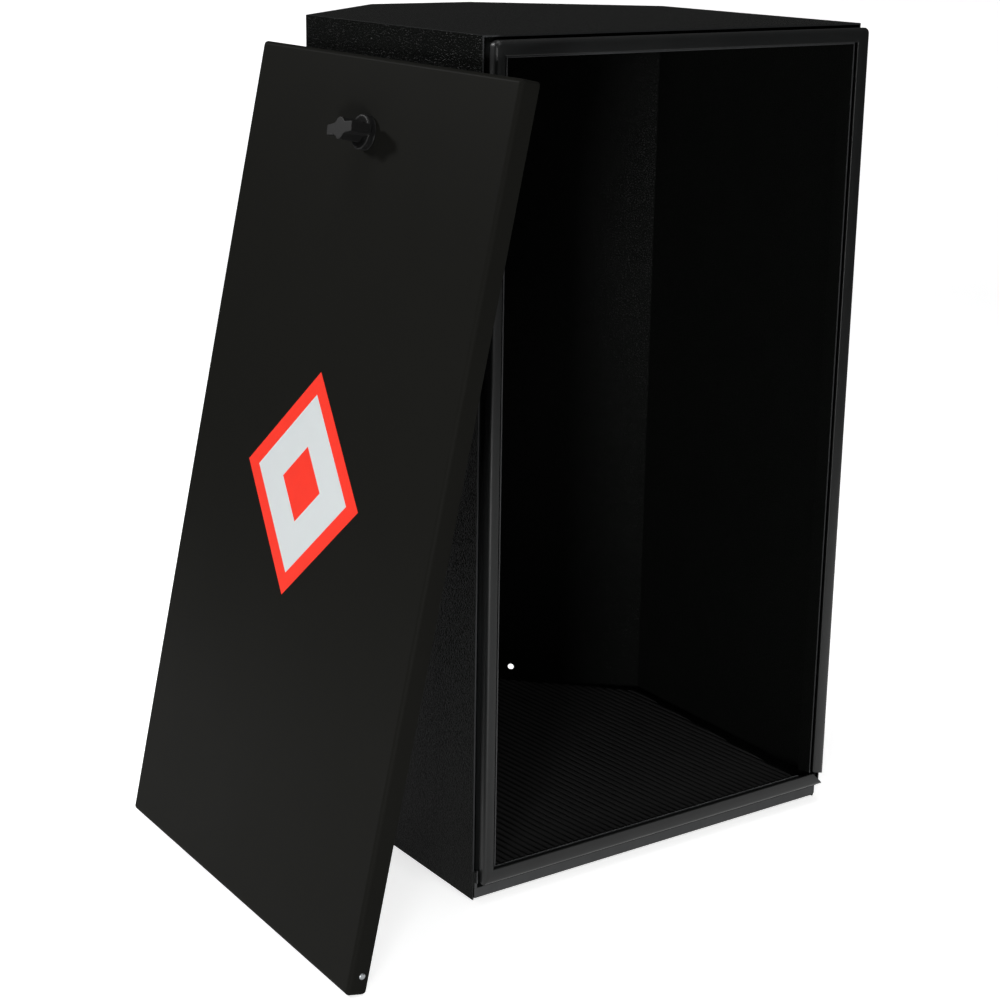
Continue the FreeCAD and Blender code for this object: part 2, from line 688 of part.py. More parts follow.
def make_latch_gasket():
    """Rubber washer between the escutcheon and the door's face."""
    inner = "Sizes.barrel_diameter / 2 + Sizes.seat_gap"
    outer = "Sizes.bezel_diameter / 2"
    return turned("latch_gasket", [
        (inner, "-Sizes.gasket_height"),
        (outer, "-Sizes.gasket_height"),
        (outer, "0"),
        (inner, "0"),
    ])


def make_latch_nut():
    """Hexagon nut that clamps the barrel from behind the door's face."""
    body = new_body("latch_nut")
    corner = "Sizes.nut_flats / sqrt(3)"
    corners = [(f"{corner} * cos({60 * k} deg)", f"{corner} * sin({60 * k} deg)") for k in range(6)]
    front = "Sizes.sheet_gauge"
    pad(body, outline(body, "Hexagon", "XZ_Plane", corners, f"-{front}"), "Sizes.nut_height", reverse=True)
    thread = "Sizes.barrel_diameter + 2 * Sizes.pin_hole_clearance"
    hole = circle(body, "Thread", "XZ_Plane", "0", "0", thread, f"-{front}")
    pocket(body, hole, "Sizes.nut_height")
    return body


def make_latch_knob():
    """Wing knob: a round hub with a tapered wing on each side, socketed behind for the spindle."""
    body = new_body("latch_knob")
    rear = f"({BEZEL_FRONT} - Sizes.seat_gap)"
    length = f"Sizes.knob_face + {rear}"
    hub = circle(body, "Hub", "XZ_Plane", "0", "0", "Sizes.knob_hub_diameter", f"-{rear}")
    pad(body, hub, length)
    tip = "Sizes.knob_wing_length / 2"
    root = "Sizes.knob_root_width / 2"
    end = "Sizes.knob_wing_width / 2"
    wing = outline(body, "Wings", "XZ_Plane", [
        (f"-{tip}", f"-{end}"),
        ("0", f"-{root}"),
        (tip, f"-{end}"),
        (tip, end),
        ("0", root),
        (f"-{tip}", end),
    ], f"-{rear}")
    blade = pad(body, wing, length)
    front = -size("Sizes.knob_face")
    bevel_edges(body, blade, lambda a, b: abs(a.y - front) < 1e-6 and abs(b.y - front) < 1e-6,
                "Sizes.knob_edge_bevel")
    socket = circle(body, "Socket", "XZ_Plane", "0", "0",
                    "Sizes.spindle_diameter + 2 * Sizes.running_clearance", f"-{rear}")
    pocket(body, socket, "Sizes.knob_socket_depth", reverse=True)
    return body


def make_latch_spindle():
    """Steel spindle from knob to cam, its end squared for the cam and tapped for a screw."""
    body = new_body("latch_spindle")
    front = f"({BEZEL_FRONT} - Sizes.seat_gap - Sizes.knob_socket_depth)"
    shaft = circle(body, "Shaft", "XZ_Plane", "0", "0", "Sizes.spindle_diameter", f"-{front}")
    pad(body, shaft, f"{CAM_FRONT} - {front}", reverse=True)
    half = "Sizes.spindle_square / 2"
    square = rectangle(body, "Square", "XZ_Plane", f"-{half}", half, f"-{half}", half, f"-{CAM_FRONT}")
    pad(body, square, "Sizes.cam_gauge", reverse=True)
    thread = circle(body, "Thread", "XZ_Plane", "0", "0",
                    "Sizes.screw_diameter + 2 * Sizes.running_clearance", f"-{CAM_BACK}")
    pocket(body, thread, "Sizes.screw_length + Sizes.seat_gap", reverse=True)
    return body


def make_latch_cam():
    """Flat cam with a round tip, driven by the spindle's square, that turns up behind the head rail."""
    body = new_body("latch_cam")
    half = "Sizes.cam_width / 2"
    front = f"-{CAM_FRONT}"
    boss = circle(body, "Boss", "XZ_Plane", "0", "0", "Sizes.cam_width", front)
    pad(body, boss, "Sizes.cam_gauge", reverse=True)
    arm = rectangle(body, "Arm", "XZ_Plane", "0", f"{CAM_REACH} - {half}", f"-{half}", half, front)
    pad(body, arm, "Sizes.cam_gauge", reverse=True)
    tip = circle(body, "Tip", "XZ_Plane", f"{CAM_REACH} - {half}", "0", "Sizes.cam_width", front)
    pad(body, tip, "Sizes.cam_gauge", reverse=True)
    side = "Sizes.spindle_square / 2 + Sizes.running_clearance"
    drive = rectangle(body, "Drive", "XZ_Plane", f"-({side})", side, f"-({side})", side, front)
    pocket(body, drive, "Sizes.cam_gauge")
    return body


def make_cam_washer():
    """Washer that holds the cam on the spindle."""
    inner = "Sizes.screw_diameter / 2 + Sizes.running_clearance"
    return turned("cam_washer", [
        (inner, CAM_BACK),
        ("Sizes.washer_diameter / 2", CAM_BACK),
        ("Sizes.washer_diameter / 2", f"{CAM_BACK} + Sizes.washer_height"),
        (inner, f"{CAM_BACK} + Sizes.washer_height"),
    ])


def make_cam_screw():
    """Pan-head screw into the end of the spindle."""
    shank = "Sizes.screw_diameter / 2"
    head = "Sizes.screw_head_diameter / 2"
    seat = f"{CAM_BACK} + Sizes.washer_height"
    crown = f"{seat} + Sizes.screw_head_height"
    return turned("cam_screw", [
        ("0", f"{CAM_BACK} - Sizes.screw_length"),
        (shank, f"{CAM_BACK} - Sizes.screw_length"),
        (shank, seat),
        (head, seat),
        (head, f"{seat} + Sizes.screw_head_height / 2"),
        ("Sizes.screw_crown_diameter / 2", crown),
        ("0", crown),
    ])


def make_lozenge_decal():
    """Plain lozenge of film stuck to the middle of the door's face."""
    body = new_body("lozenge_decal")
    x = "Sizes.decal_from_middle"
    z = f"{DOOR_HEIGHT} / 2 + Sizes.decal_over_middle"
    reach = "Sizes.decal_half_diagonal"
    corners = [(f"{x} - {reach}", z), (x, f"{z} - {reach}"), (f"{x} + {reach}", z), (x, f"{z} + {reach}")]
    pad(body, outline(body, "Lozenge", "XZ_Plane", corners), "Sizes.decal_gauge")
    return body


def leaning_place():
    """Where the door stands: lower corners on the floor, upper flange against the left wall's rear fold."""
    turn = FreeCAD.Rotation(FreeCAD.Vector(0, 0, 1), -90 - size("Sizes.lean_yaw"))
    tip = FreeCAD.Rotation(FreeCAD.Vector(1, 0, 0), -size("Sizes.lean_angle"))
    stance = turn.multiply(tip)
    depth = size("Sizes.door_depth")
    half = size(f"{DOOR_WIDTH} / 2")
    round_off = size("Sizes.door_corner_round")
    overhang = size("Sizes.lean_overhang")
    wall_side = -size(SIDE) - size("Sizes.seat_gap")
    wall_rear = size(SHOULDER)
    foot = stance.multVec(FreeCAD.Vector(0, depth - round_off, round_off))
    edge = stance.multVec(FreeCAD.Vector(-half + overhang, depth, size(DOOR_HEIGHT)))
    rear = stance.multVec(FreeCAD.Vector(-half, 0, 0))
    place = FreeCAD.Vector(wall_side - edge.x, wall_rear + overhang - rear.y, round_off - foot.z)
    return FreeCAD.Placement(place, stance)


cabinet_pieces = [
    make_body_wrap(),
    make_top_panel(),
    make_base_pan(),
    make_jamb("left_jamb", -1),
    make_jamb("right_jamb", 1),
    make_head_rail(),
    make_sill_rail(),
    make_door_hook("left_door_hook", -1),
    make_door_hook("right_door_hook", 1),
    make_door_seal(),
    make_floor_mat(),
]
door_pieces = [
    make_door_panel(),
    make_lozenge_decal(),
]
pin_pieces = [
    make_door_pin("left_door_pin", -1),
    make_door_pin("right_door_pin", 1),
]
fixed_latch_pieces = [
    make_latch_body(),
    make_latch_gasket(),
    make_latch_nut(),
]
turning_latch_pieces = [
    make_latch_knob(),
    make_latch_spindle(),
    make_latch_cam(),
    make_cam_washer(),
    make_cam_screw(),
]

door_place = leaning_place()
pin_axis = FreeCAD.Vector(0, size(PIN_BACK), size(PIN_UP))
latch_axis = FreeCAD.Vector(0, 0, size(LATCH_UP))
wing_turn = FreeCAD.Rotation(FreeCAD.Vector(0, -1, 0), size("Sizes.wing_tilt"))
for piece in door_pieces:
    piece.Placement = door_place
for piece in pin_pieces:
    piece.Placement = door_place.multiply(FreeCAD.Placement(pin_axis, FreeCAD.Rotation()))
for piece in fixed_latch_pieces:
    piece.Placement = door_place.multiply(FreeCAD.Placement(latch_axis, FreeCAD.Rotation()))
for piece in turning_latch_pieces:
    piece.Placement = door_place.multiply(FreeCAD.Placement(latch_axis, wing_turn))
doc.recompute()

pieces = cabinet_pieces + door_pieces + pin_pieces + fixed_latch_pieces + turning_latch_pieces
for thing in doc.Objects:
    if "Invalid" in thing.State or "Error" in thing.State:
        raise RuntimeError(f"{thing.Label} failed: {thing.State}")
for piece in pieces:
    if piece.Shape.isNull() or not piece.Shape.isValid() or len(piece.Shape.Solids) != 1:
        raise RuntimeError(f"{piece.Label} isn't one valid solid")

os.makedirs("parts", exist_ok=True)
for piece in pieces:
    piece.Shape.exportStep(f"parts/{piece.Label}.step")

outward = door_place.Rotation.multVec(FreeCAD.Vector(0, -1, 0))
pivot = door_place.multVec(latch_axis)
print("latch axis through", [round(v, 3) for v in pivot], "along", [round(v, 5) for v in outward])
print(len(pieces), "pieces written")
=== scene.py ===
"""Looks of the gas bottle cabinet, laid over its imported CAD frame. Metres, in the frame's own axes."""
import json
import math

import bmesh
import bpy
from bpy.props import FloatProperty, FloatVectorProperty, IntProperty, PointerProperty
from mathutils import Matrix, Vector


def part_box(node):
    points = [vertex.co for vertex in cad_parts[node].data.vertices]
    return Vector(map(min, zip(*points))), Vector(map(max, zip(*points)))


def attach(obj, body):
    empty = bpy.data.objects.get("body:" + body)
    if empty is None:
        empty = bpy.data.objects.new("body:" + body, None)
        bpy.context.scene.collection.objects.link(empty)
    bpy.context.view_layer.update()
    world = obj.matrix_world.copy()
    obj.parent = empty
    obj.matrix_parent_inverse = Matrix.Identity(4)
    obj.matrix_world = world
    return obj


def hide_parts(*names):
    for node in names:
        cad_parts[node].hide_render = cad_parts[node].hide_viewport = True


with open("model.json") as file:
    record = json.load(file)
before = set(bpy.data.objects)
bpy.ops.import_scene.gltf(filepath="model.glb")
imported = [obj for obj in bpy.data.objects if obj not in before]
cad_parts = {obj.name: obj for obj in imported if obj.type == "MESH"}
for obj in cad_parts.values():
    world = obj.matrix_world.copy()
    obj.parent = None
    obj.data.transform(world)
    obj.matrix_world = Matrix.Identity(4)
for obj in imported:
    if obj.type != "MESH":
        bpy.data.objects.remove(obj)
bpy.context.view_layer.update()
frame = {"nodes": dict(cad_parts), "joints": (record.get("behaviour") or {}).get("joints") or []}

bl_info = {
    "name": "Gas bottle cabinet",
    "version": (1, 0, 0),
    "blender": (4, 5, 0),
    "location": "3D View > Sidebar > Cabinet",
    "description": "Builds a steel gas bottle cabinet with its lift-off door, seal, mat and wing latch",
    "category": "Add Mesh",
}

MM = 0.001
LATCH_JOINT = next(j for j in frame["joints"] if j["name"] == "latch_turn")
SEAL_LOW, SEAL_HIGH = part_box("door_seal")
MAT_LOW, MAT_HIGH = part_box("floor_mat")
LATCH_UP_DOOR = 550 * MM    # from the door's lower edge up to the latch's axis
WING_TILT = 11.0            # degrees by which the wing stands off level at rest
WELD = 1e-6                 # CAD points nearer than this are one
SQUARE_ON = 0.99            # cosine past which a face counts as looking along an axis
# The cut-edge and top-edge materials are the coat painted lighter: painted highlights on edges that catch the
# light
COAT, CUT_EDGE_HIGHLIGHT, TOP_EDGE_HIGHLIGHT = 0, 1, 2    # places of the sheet metal's three materials


def linear(code):
    """Linear colour of an sRGB hex code."""
    channels = [int(code[i:i + 2], 16) / 255 for i in (1, 3, 5)]
    return [c / 12.92 if c <= 0.04045 else ((c + 0.055) / 1.055) ** 2.4 for c in channels]


def length(name, description, default):
    """A size that the user may change."""
    return FloatProperty(name=name, description=description, default=default, min=0.0, precision=5,
                         subtype="DISTANCE", unit="LENGTH")


def colour(name, description, code):
    """A colour that the user may change, from its sRGB hex code."""
    return FloatVectorProperty(name=name, description=description, default=linear(code), min=0.0, max=1.0,
                               size=3, subtype="COLOR")


class FinishColours(bpy.types.PropertyGroup):
    """Colours of the cabinet's finishes"""
    shell: colour("Shell coat", "Grained powder coat of the cabinet", "#0F100F")
    # Painted highlight: the coat does thin on cut edges, but this lighter colour goes only on edges that face
    # forward or up, where light falls
    cut_edge_highlight: colour("Cut edge", "Thin coat on the sheet's cut edges", "#3A3B3C")
    # Painted highlight: a still lighter colour on the sill's top edge, standing in for the light that edge
    # catches
    sill_edge_highlight: colour("Rubbed edge", "Coat that bottles have rubbed thin on the sill's top edge", "#6A6C6D")
    door: colour("Door coat", "Satin powder coat of the door", "#191917")
    seal: colour("Seal", "Extruded rubber of the door seal", "#171818")
    mat: colour("Mat", "Ribbed rubber of the floor mat", "#252525")
    latch: colour("Latch", "Moulded polyamide of the latch", "#121212")
    zinc: colour("Zinc", "Zinc plate of pins and latch fittings", "#8F9294")
    print_red: colour("Decal red", "Printed bands of the decal", "#F93B2C")
    film: colour("Decal film", "Bare film of the decal", "#D4D9DA")


class SheetSizes(bpy.types.PropertyGroup):
    """Edges of the sheet metal"""
    edge: length("Edge", "Softening that the coat gives a cut edge", 0.25 * MM)
    lid_edge: length("Lid edge", "Rounding of the fold from the walls to the lid", 1.0 * MM)
    # strip and nose limit which faces get the cut edges' painted highlight
    strip: length("Strip", "Widest face that counts as a cut edge", 2.2 * MM)
    nose: length("Nose", "Widest smooth face of the sill", 12 * MM)
    small_edge: length("Small edge", "Softening of the latch's small fittings", 0.2 * MM)
    grain: length("Grain", "Width of one pebble of the grained coat", 1.9 * MM)


class SealSizes(bpy.types.PropertyGroup):
    """Section of the door seal"""
    width: length("Width", "Width of the section before it is fitted", 9.2 * MM)
    left_width: length("Left width", "Width of the left run", 7.7 * MM)
    right_width: length("Right width", "Width of the right run", 12.0 * MM)
    top_width: length("Top width", "Width of the run under the lid", 10.0 * MM)
    foot_width: length("Foot width", "Width of the run along the sill", 11.6 * MM)
    overhang: length("Overhang", "How far the right run leans out over the wall's edge", 2.0 * MM)
    wall: length("Wall", "Rubber round the hollow", 1.5 * MM)
    corner: length("Corner", "Outer radius where the section turns a corner", 4 * MM)
    foot_corner: length("Foot corner", "Outer radius at the lower left corner", 0.8 * MM)
    gap: length("End gap", "How far the right run's end stops above the corner", 1.6 * MM)
    end_drop: length("End drop", "How much lower the right run's cut end reaches outside than inside",
                     3.7 * MM)
    neck: length("Neck", "How far the section's foot is drawn in beside the opening", 5.6 * MM)
    outer_neck: length("Outer neck", "How far the section's foot is drawn in beside the walls", 1.6 * MM)
    neck_rise: length("Neck rise", "Height at which the bulb swells out of the foot", 5.0 * MM)
    inner_round: length("Inner round", "Rounding of the front edge beside the opening", 0.6 * MM)
    outer_round: length("Outer round", "Rounding of the front edge beside the walls", 3.2 * MM)
    crown: length("Crown", "How far the front swells between its edges", 0.3 * MM)
    arc_steps: IntProperty(name="Arc steps", description="Steps round each edge of the section",
                           default=6, min=2)


class MatSizes(bpy.types.PropertyGroup):
    """Ribs of the floor mat"""
    rib_width: length("Rib width", "Width of one rib", 3.4 * MM)
    rib_height: length("Rib height", "Height of one rib", 1.4 * MM)
    rib_pitch: length("Rib pitch", "Spacing of the ribs", 6.1 * MM)
    rib_edge: length("Rib edge", "Rounding along a rib's edges", 0.7 * MM)
    rib_turn: FloatProperty(name="Rib turn", description="Turn of the ribs off square",
                            default=math.radians(5.0), subtype="ANGLE")
    front_half: length("Front half", "Half the width of the mat's front edge", 145.8 * MM)
    shoulder: length("Shoulder", "How far behind the middle the canted sides start", 51.5 * MM)
    back_half: length("Back half", "Half the width of the mat's back edge", 45.5 * MM)


class DecalSizes(bpy.types.PropertyGroup):
    """Bands of the lozenge decal, as half diagonals"""
    outer: length("Outer", "Edge of the film", 80 * MM)
    field: length("Field", "Inner edge of the outer band", 64 * MM)
    heart: length("Heart", "Edge of the middle lozenge", 27 * MM)
    gauge: length("Gauge", "Thickness of the film", 0.2 * MM)
    across: FloatProperty(name="Across", description="Offset from the door's middle, to the right",
                          default=-3.3 * MM, precision=5, subtype="DISTANCE", unit="LENGTH")
    up: length("Up", "Height of its centre over the door's lower edge", 303.8 * MM)


class LatchSizes(bpy.types.PropertyGroup):
    """Escutcheon and wing knob"""
    rim: length("Rim", "Radius of the escutcheon", 12 * MM)
    dish: length("Dish", "Radius where the escutcheon's face dips", 9.8 * MM)
    face: length("Face", "Height of the escutcheon over the door", 5.8 * MM)
    gasket: length("Gasket", "Thickness of the washer under the escutcheon", 0.8 * MM)
    barrel: length("Barrel", "Radius of the barrel", 8 * MM)
    barrel_rear: length("Barrel rear", "Depth of the barrel's end behind the door's face", 14.8 * MM)
    bore: length("Bore", "Radius of the spindle's bore", 4.05 * MM)
    knob_rear: length("Knob rear", "Height of the knob's back over the door", 6.1 * MM)
    knob_face: length("Knob face", "Height of the knob's front over the door", 21.8 * MM)
    hub: length("Hub", "Radius of the hub's facets", 7.5 * MM)
    wing: length("Wing", "Reach of a wing from the axis", 16.25 * MM)
    wing_tip: length("Wing tip", "Half the thickness of a wing at its tip", 3.3 * MM)
    wing_root: length("Wing root", "Half the thickness of a wing at the hub", 4.0 * MM)
    knob_edge: length("Knob edge", "Rounding of the knob's edges", 0.45 * MM)


class CabinetSettings(bpy.types.PropertyGroup):
    """Everything a user would change"""
    colours: PointerProperty(type=FinishColours)
    sheet: PointerProperty(type=SheetSizes)
    seal: PointerProperty(type=SealSizes)
    mat: PointerProperty(type=MatSizes)
    decal: PointerProperty(type=DecalSizes)
    latch: PointerProperty(type=LatchSizes)


def settings():
    """The scene's own copy of the settings."""
    return bpy.context.scene.gas_cabinet


# Nodes and materials

def add_node(tree, kind, inputs=(), **options):
    """Add one node with its options; each input is a value to set or a socket to link from."""
    node = tree.nodes.new(kind)
    for name, value in options.items():
        setattr(node, name, value)
    for key, value in dict(inputs).items():
        if isinstance(value, bpy.types.NodeSocket):
            tree.links.new(value, node.inputs[key])
        else:
            node.inputs[key].default_value = value
    return node


def new_material(name):
    """A new material with its emptied node tree, or the one already made with None."""
    known = bpy.data.materials.get(name)
    if known:
        return known, None
    material = bpy.data.materials.new(name)
    material.use_nodes = True
    material.node_tree.nodes.clear()
    return material, material.node_tree


def finish_material(tree, shader):
    """Wire a shader to the material's output."""
    add_node(tree, "ShaderNodeOutputMaterial", {"Surface": shader.outputs["BSDF"]})


def object_place(tree):
    """The piece's own coordinates, in metres."""
    return add_node(tree, "ShaderNodeTexCoord").outputs["Object"]


def noise(tree, place, size, detail):
    """A factor that wanders over patches of about one size."""
    texture = add_node(tree, "ShaderNodeTexNoise", {"Vector": place, "Scale": 1 / size, "Detail": detail})
    return texture.outputs["Fac"]


def between(tree, factor, low, high):
    """A factor spread over a range."""
    spread = add_node(tree, "ShaderNodeMapRange", {"Value": factor, "To Min": low, "To Max": high})
    return spread.outputs["Result"]


def relief(tree, height, depth):
    """The normal of a surface that a factor raises by a real depth."""
    return add_node(tree, "ShaderNodeBump", {"Height": height, "Distance": depth}).outputs["Normal"]


def mottled(tree, place, base, spread, patch):
    """A colour that drifts slightly round its base from patch to patch, as a coat's film thickness does."""
    dark = [c * (1 - spread) for c in base] + [1]
    light = [c * (1 + spread) for c in base] + [1]
    drift = noise(tree, place, patch, 3.0)
    # sockets 6 and 7 are the two colours of a colour mix, and output 2 is its result
    mix = add_node(tree, "ShaderNodeMix", {"Factor": drift, 6: dark, 7: light}, data_type="RGBA")
    return mix.outputs[2]


def grained_coat():
    """Leather-grain powder coat on steel: flat pebbles with soft creases, glinting towards the light."""
    material, tree = new_material("leather_grain_powder_coat_on_steel")
    if tree is None:
        return material
    options = settings()
    grain = options.sheet.grain
    place = object_place(tree)
    wander = add_node(tree, "ShaderNodeTexNoise", {"Vector": place, "Scale": 0.4 / grain, "Detail": 2.0})
    shift = add_node(tree, "ShaderNodeVectorMath", {0: wander.outputs["Color"], 1: (grain, grain, grain)},
                     operation="MULTIPLY")
    moved = add_node(tree, "ShaderNodeVectorMath", {0: place, 1: shift.outputs[0]}, operation="ADD")
    pebbles = add_node(tree, "ShaderNodeTexVoronoi", {"Vector": moved.outputs[0], "Scale": 1 / grain},
                       feature="DISTANCE_TO_EDGE")
    domes = add_node(tree, "ShaderNodeMapRange", {"Value": pebbles.outputs["Distance"], "From Max": 0.22},
                     interpolation_type="SMOOTHSTEP")
    grit = noise(tree, place, grain / 2.5, 2.0)
    height = add_node(tree, "ShaderNodeMath", {0: grit, 1: 0.45, 2: domes.outputs["Result"]},
                      operation="MULTIPLY_ADD")
    shader = add_node(tree, "ShaderNodeBsdfPrincipled", {
        "Base Color": mottled(tree, place, options.colours.shell, 0.12, 33 * MM),
        "Roughness": between(tree, grit, 0.22, 0.34), "Specular IOR Level": 0.016,
        "Normal": relief(tree, height.outputs[0], 0.18 * MM)})
    finish_material(tree, shader)
    return material


def edge_coat(name, shade):
    """Powder coat drawn thin over a sheet's edge: smooth, and painted lighter than the faces beside it, as a
    highlight.
    """
    material, tree = new_material(name)
    if tree is None:
        return material
    place = object_place(tree)
    beads = noise(tree, place, 2 * MM, 2.0)
    shader = add_node(tree, "ShaderNodeBsdfPrincipled", {
        "Base Color": mottled(tree, place, shade, 0.2, 8.3 * MM),
        "Roughness": between(tree, beads, 0.4, 0.55), "Specular IOR Level": 0.35})
    finish_material(tree, shader)
    return material


def satin_coat():
    """Fine satin powder coat on steel: an even sheen, broken only by shallow orange peel."""
    material, tree = new_material("satin_powder_coat_on_steel")
    if tree is None:
        return material
    place = object_place(tree)
    peel = noise(tree, place, 0.8 * MM, 2.0)
    sheen = noise(tree, place, 71 * MM, 4.0)
    shader = add_node(tree, "ShaderNodeBsdfPrincipled", {
        "Base Color": mottled(tree, place, settings().colours.door, 0.08, 110 * MM),
        "Roughness": between(tree, sheen, 0.38, 0.46), "Specular IOR Level": 0.01,
        "Normal": relief(tree, peel, 0.02 * MM)})
    finish_material(tree, shader)
    return material


def extruded_rubber():
    """Extruded rubber: dull and even, with a faint bloom and fine pits."""
    material, tree = new_material("extruded_epdm_rubber")
    if tree is None:
        return material
    place = object_place(tree)
    pits = noise(tree, place, 0.7 * MM, 3.0)
    bloom = noise(tree, place, 17 * MM, 4.0)
    shader = add_node(tree, "ShaderNodeBsdfPrincipled", {
        "Base Color": mottled(tree, place, settings().colours.seal, 0.12, 25 * MM),
        "Roughness": between(tree, bloom, 0.34, 0.46), "Specular IOR Level": 0.3,
        "Normal": relief(tree, pits, 0.03 * MM)})
    finish_material(tree, shader)
    return material


def mat_rubber():
    """Calendered rubber matting: matt, slightly dusty on top."""
    material, tree = new_material("calendered_mat_rubber")
    if tree is None:
        return material
    place = object_place(tree)
    grit = noise(tree, place, 0.9 * MM, 3.0)
    shader = add_node(tree, "ShaderNodeBsdfPrincipled", {
        "Base Color": mottled(tree, place, settings().colours.mat, 0.15, 20 * MM),
        "Roughness": between(tree, grit, 0.6, 0.75), "Specular IOR Level": 0.25,
        "Normal": relief(tree, grit, 0.05 * MM)})
    finish_material(tree, shader)
    return material


def moulded_polyamide():
    """Moulded polyamide from a spark-eroded tool: a fine even matt."""
    material, tree = new_material("spark_eroded_polyamide")
    if tree is None:
        return material
    place = object_place(tree)
    # coarser than the real texture, so that it shows
    sparks = noise(tree, place, 0.5 * MM, 2.0)
    shader = add_node(tree, "ShaderNodeBsdfPrincipled", {
        "Base Color": mottled(tree, place, settings().colours.latch, 0.1, 12.5 * MM),
        "Roughness": between(tree, sparks, 0.42, 0.55), "Specular IOR Level": 0.15,
        "Normal": relief(tree, sparks, 0.03 * MM)})
    finish_material(tree, shader)
    return material


def zinc_plate():
    """Zinc-plated steel: grey, softly bright, clouded by its passivation."""
    material, tree = new_material("passivated_zinc_plate")
    if tree is None:
        return material
    place = object_place(tree)
    clouds = noise(tree, place, 3 * MM, 4.0)
    shader = add_node(tree, "ShaderNodeBsdfPrincipled", {
        "Base Color": mottled(tree, place, settings().colours.zinc, 0.12, 4 * MM),
        "Metallic": 1.0, "Roughness": between(tree, clouds, 0.3, 0.5)})
    finish_material(tree, shader)
    return material


def printed_film(name, shade):
    """Printed vinyl film: flat even colour under a thin satin laminate, faintly dimpled by its adhesive."""
    material, tree = new_material(name)
    if tree is None:
        return material
    place = object_place(tree)
    dimples = noise(tree, place, 4 * MM, 1.0)
    shader = add_node(tree, "ShaderNodeBsdfPrincipled", {
        "Base Color": mottled(tree, place, shade, 0.02, 17 * MM),
        "Roughness": between(tree, dimples, 0.38, 0.46), "Specular IOR Level": 0.08,
        "Normal": relief(tree, dimples, 0.02 * MM)})
    finish_material(tree, shader)
    return material


# Meshes and pieces

def new_object(name, data):
    """An object in the scene, at the origin."""
    made = bpy.data.objects.new(name, data)
    bpy.context.scene.collection.objects.link(made)
    return made


def add_piece(name, mesh, materials, body, nodes):
    """Put a finished mesh in the scene, riding on a body in place of its CAD nodes."""
    piece = new_object(name, mesh)
    for material in materials:
        if material.name not in mesh.materials:
            mesh.materials.append(material)
    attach(piece, body)
    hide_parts(*nodes)
    return piece


def evaluated(holder, name):
    """A work object's mesh after its modifiers, as plain mesh data; the object itself goes."""
    bpy.context.view_layer.update()
    graph = bpy.context.evaluated_depsgraph_get()
    result = bpy.data.meshes.new_from_object(holder.evaluated_get(graph))
    result.name = name
    holder.modifiers.clear()
    bpy.data.objects.remove(holder)
    return result


def with_modifiers(name, mesh, modifiers):
    """The mesh after a list of (type, options) modifiers."""
    holder = new_object(name + "_work", mesh)
    for kind, options in modifiers:
        modifier = holder.modifiers.new(kind.lower(), kind)
        for key, value in options.items():
            setattr(modifier, key, value)
    return evaluated(holder, name)


def soft_edges(name, mesh, edge, segments=2):
    """Round a mesh's sharp edges and let its large faces keep their own flat shading."""
    mesh.shade_smooth()
    return with_modifiers(name, mesh, [
        ("BEVEL", {"width": edge, "segments": segments, "limit_method": "ANGLE",
                   "angle_limit": math.radians(32), "use_clamp_overlap": True, "miter_outer": "MITER_ARC"}),
        ("WEIGHTED_NORMAL", {"mode": "FACE_AREA", "weight": 50, "keep_sharp": True}),
    ])


def make_whole(bm):
    """Join loose triangles and make flat faces whole."""
    bmesh.ops.remove_doubles(bm, verts=bm.verts, dist=WELD)
    bmesh.ops.dissolve_limit(bm, angle_limit=math.radians(0.2), verts=bm.verts, edges=bm.edges)


def merged_copy(node, cut_rings=False):
    """A CAD node's mesh with its flat faces made whole.

    A face that runs round an opening can fold over itself when its edges are rounded: cut_rings splits it.
    """
    bm = bmesh.new()
    bm.from_mesh(frame["nodes"][node].data)
    make_whole(bm)
    if cut_rings:
        hollow = [f for f in bm.faces if not all(corner.is_convex for corner in f.loops)]
        parts = bmesh.ops.triangulate(bm, faces=hollow, quad_method="BEAUTY", ngon_method="BEAUTY")["faces"]
        bmesh.ops.join_triangles(bm, faces=parts, angle_face_threshold=0.01,
                                 angle_shape_threshold=math.radians(60))
    mesh = bpy.data.meshes.new(node + "_joined")
    bm.to_mesh(mesh)
    bm.free()
    return mesh


def dress(name, node, edge, material, body, segments=2):
    """Stand a soft-edged copy in for a CAD node."""
    mesh = soft_edges(name, merged_copy(node), edge, segments)
    return add_piece(name, mesh, [material], body, [node])


def mark_cut_edges(mesh, limit):
    """Give the narrow faces that look forward or up the cut edge's material: a painted highlight where these
    edges face the light.
    """
    for face in mesh.polygons:
        spots = [mesh.vertices[v].co for v in face.vertices]
        outline = sum((b - a).length for a, b in zip(spots, spots[1:] + spots[:1]))
        narrow = 2 * face.area / outline < limit
        facing = face.normal.y < -SQUARE_ON or face.normal.z > SQUARE_ON
        face.material_index = CUT_EDGE_HIGHLIGHT if narrow and facing else COAT


def mark_top_edge(mesh):
    """Give a mesh's highest face a lighter coat: a painted highlight along its top edge."""
    top = max(v.co.z for v in mesh.vertices)
    for face in mesh.polygons:
        if face.normal.z > SQUARE_ON and face.center.z > top - 0.1 * MM:
            face.material_index = TOP_EDGE_HIGHLIGHT


def band(bm, here, there, material=0):
    """Faces between two equal rings of vertices."""
    for k in range(len(here)):
        after = (k + 1) % len(here)
        bm.faces.new((here[k], here[after], there[after], there[k])).material_index = material


def prism(first, second):
    """A solid between two equal outlines."""
    bm = bmesh.new()
    here = [bm.verts.new(spot) for spot in first]
    there = [bm.verts.new(spot) for spot in second]
    bm.faces.new(here)
    bm.faces.new(there)
    band(bm, here, there)
    return bm


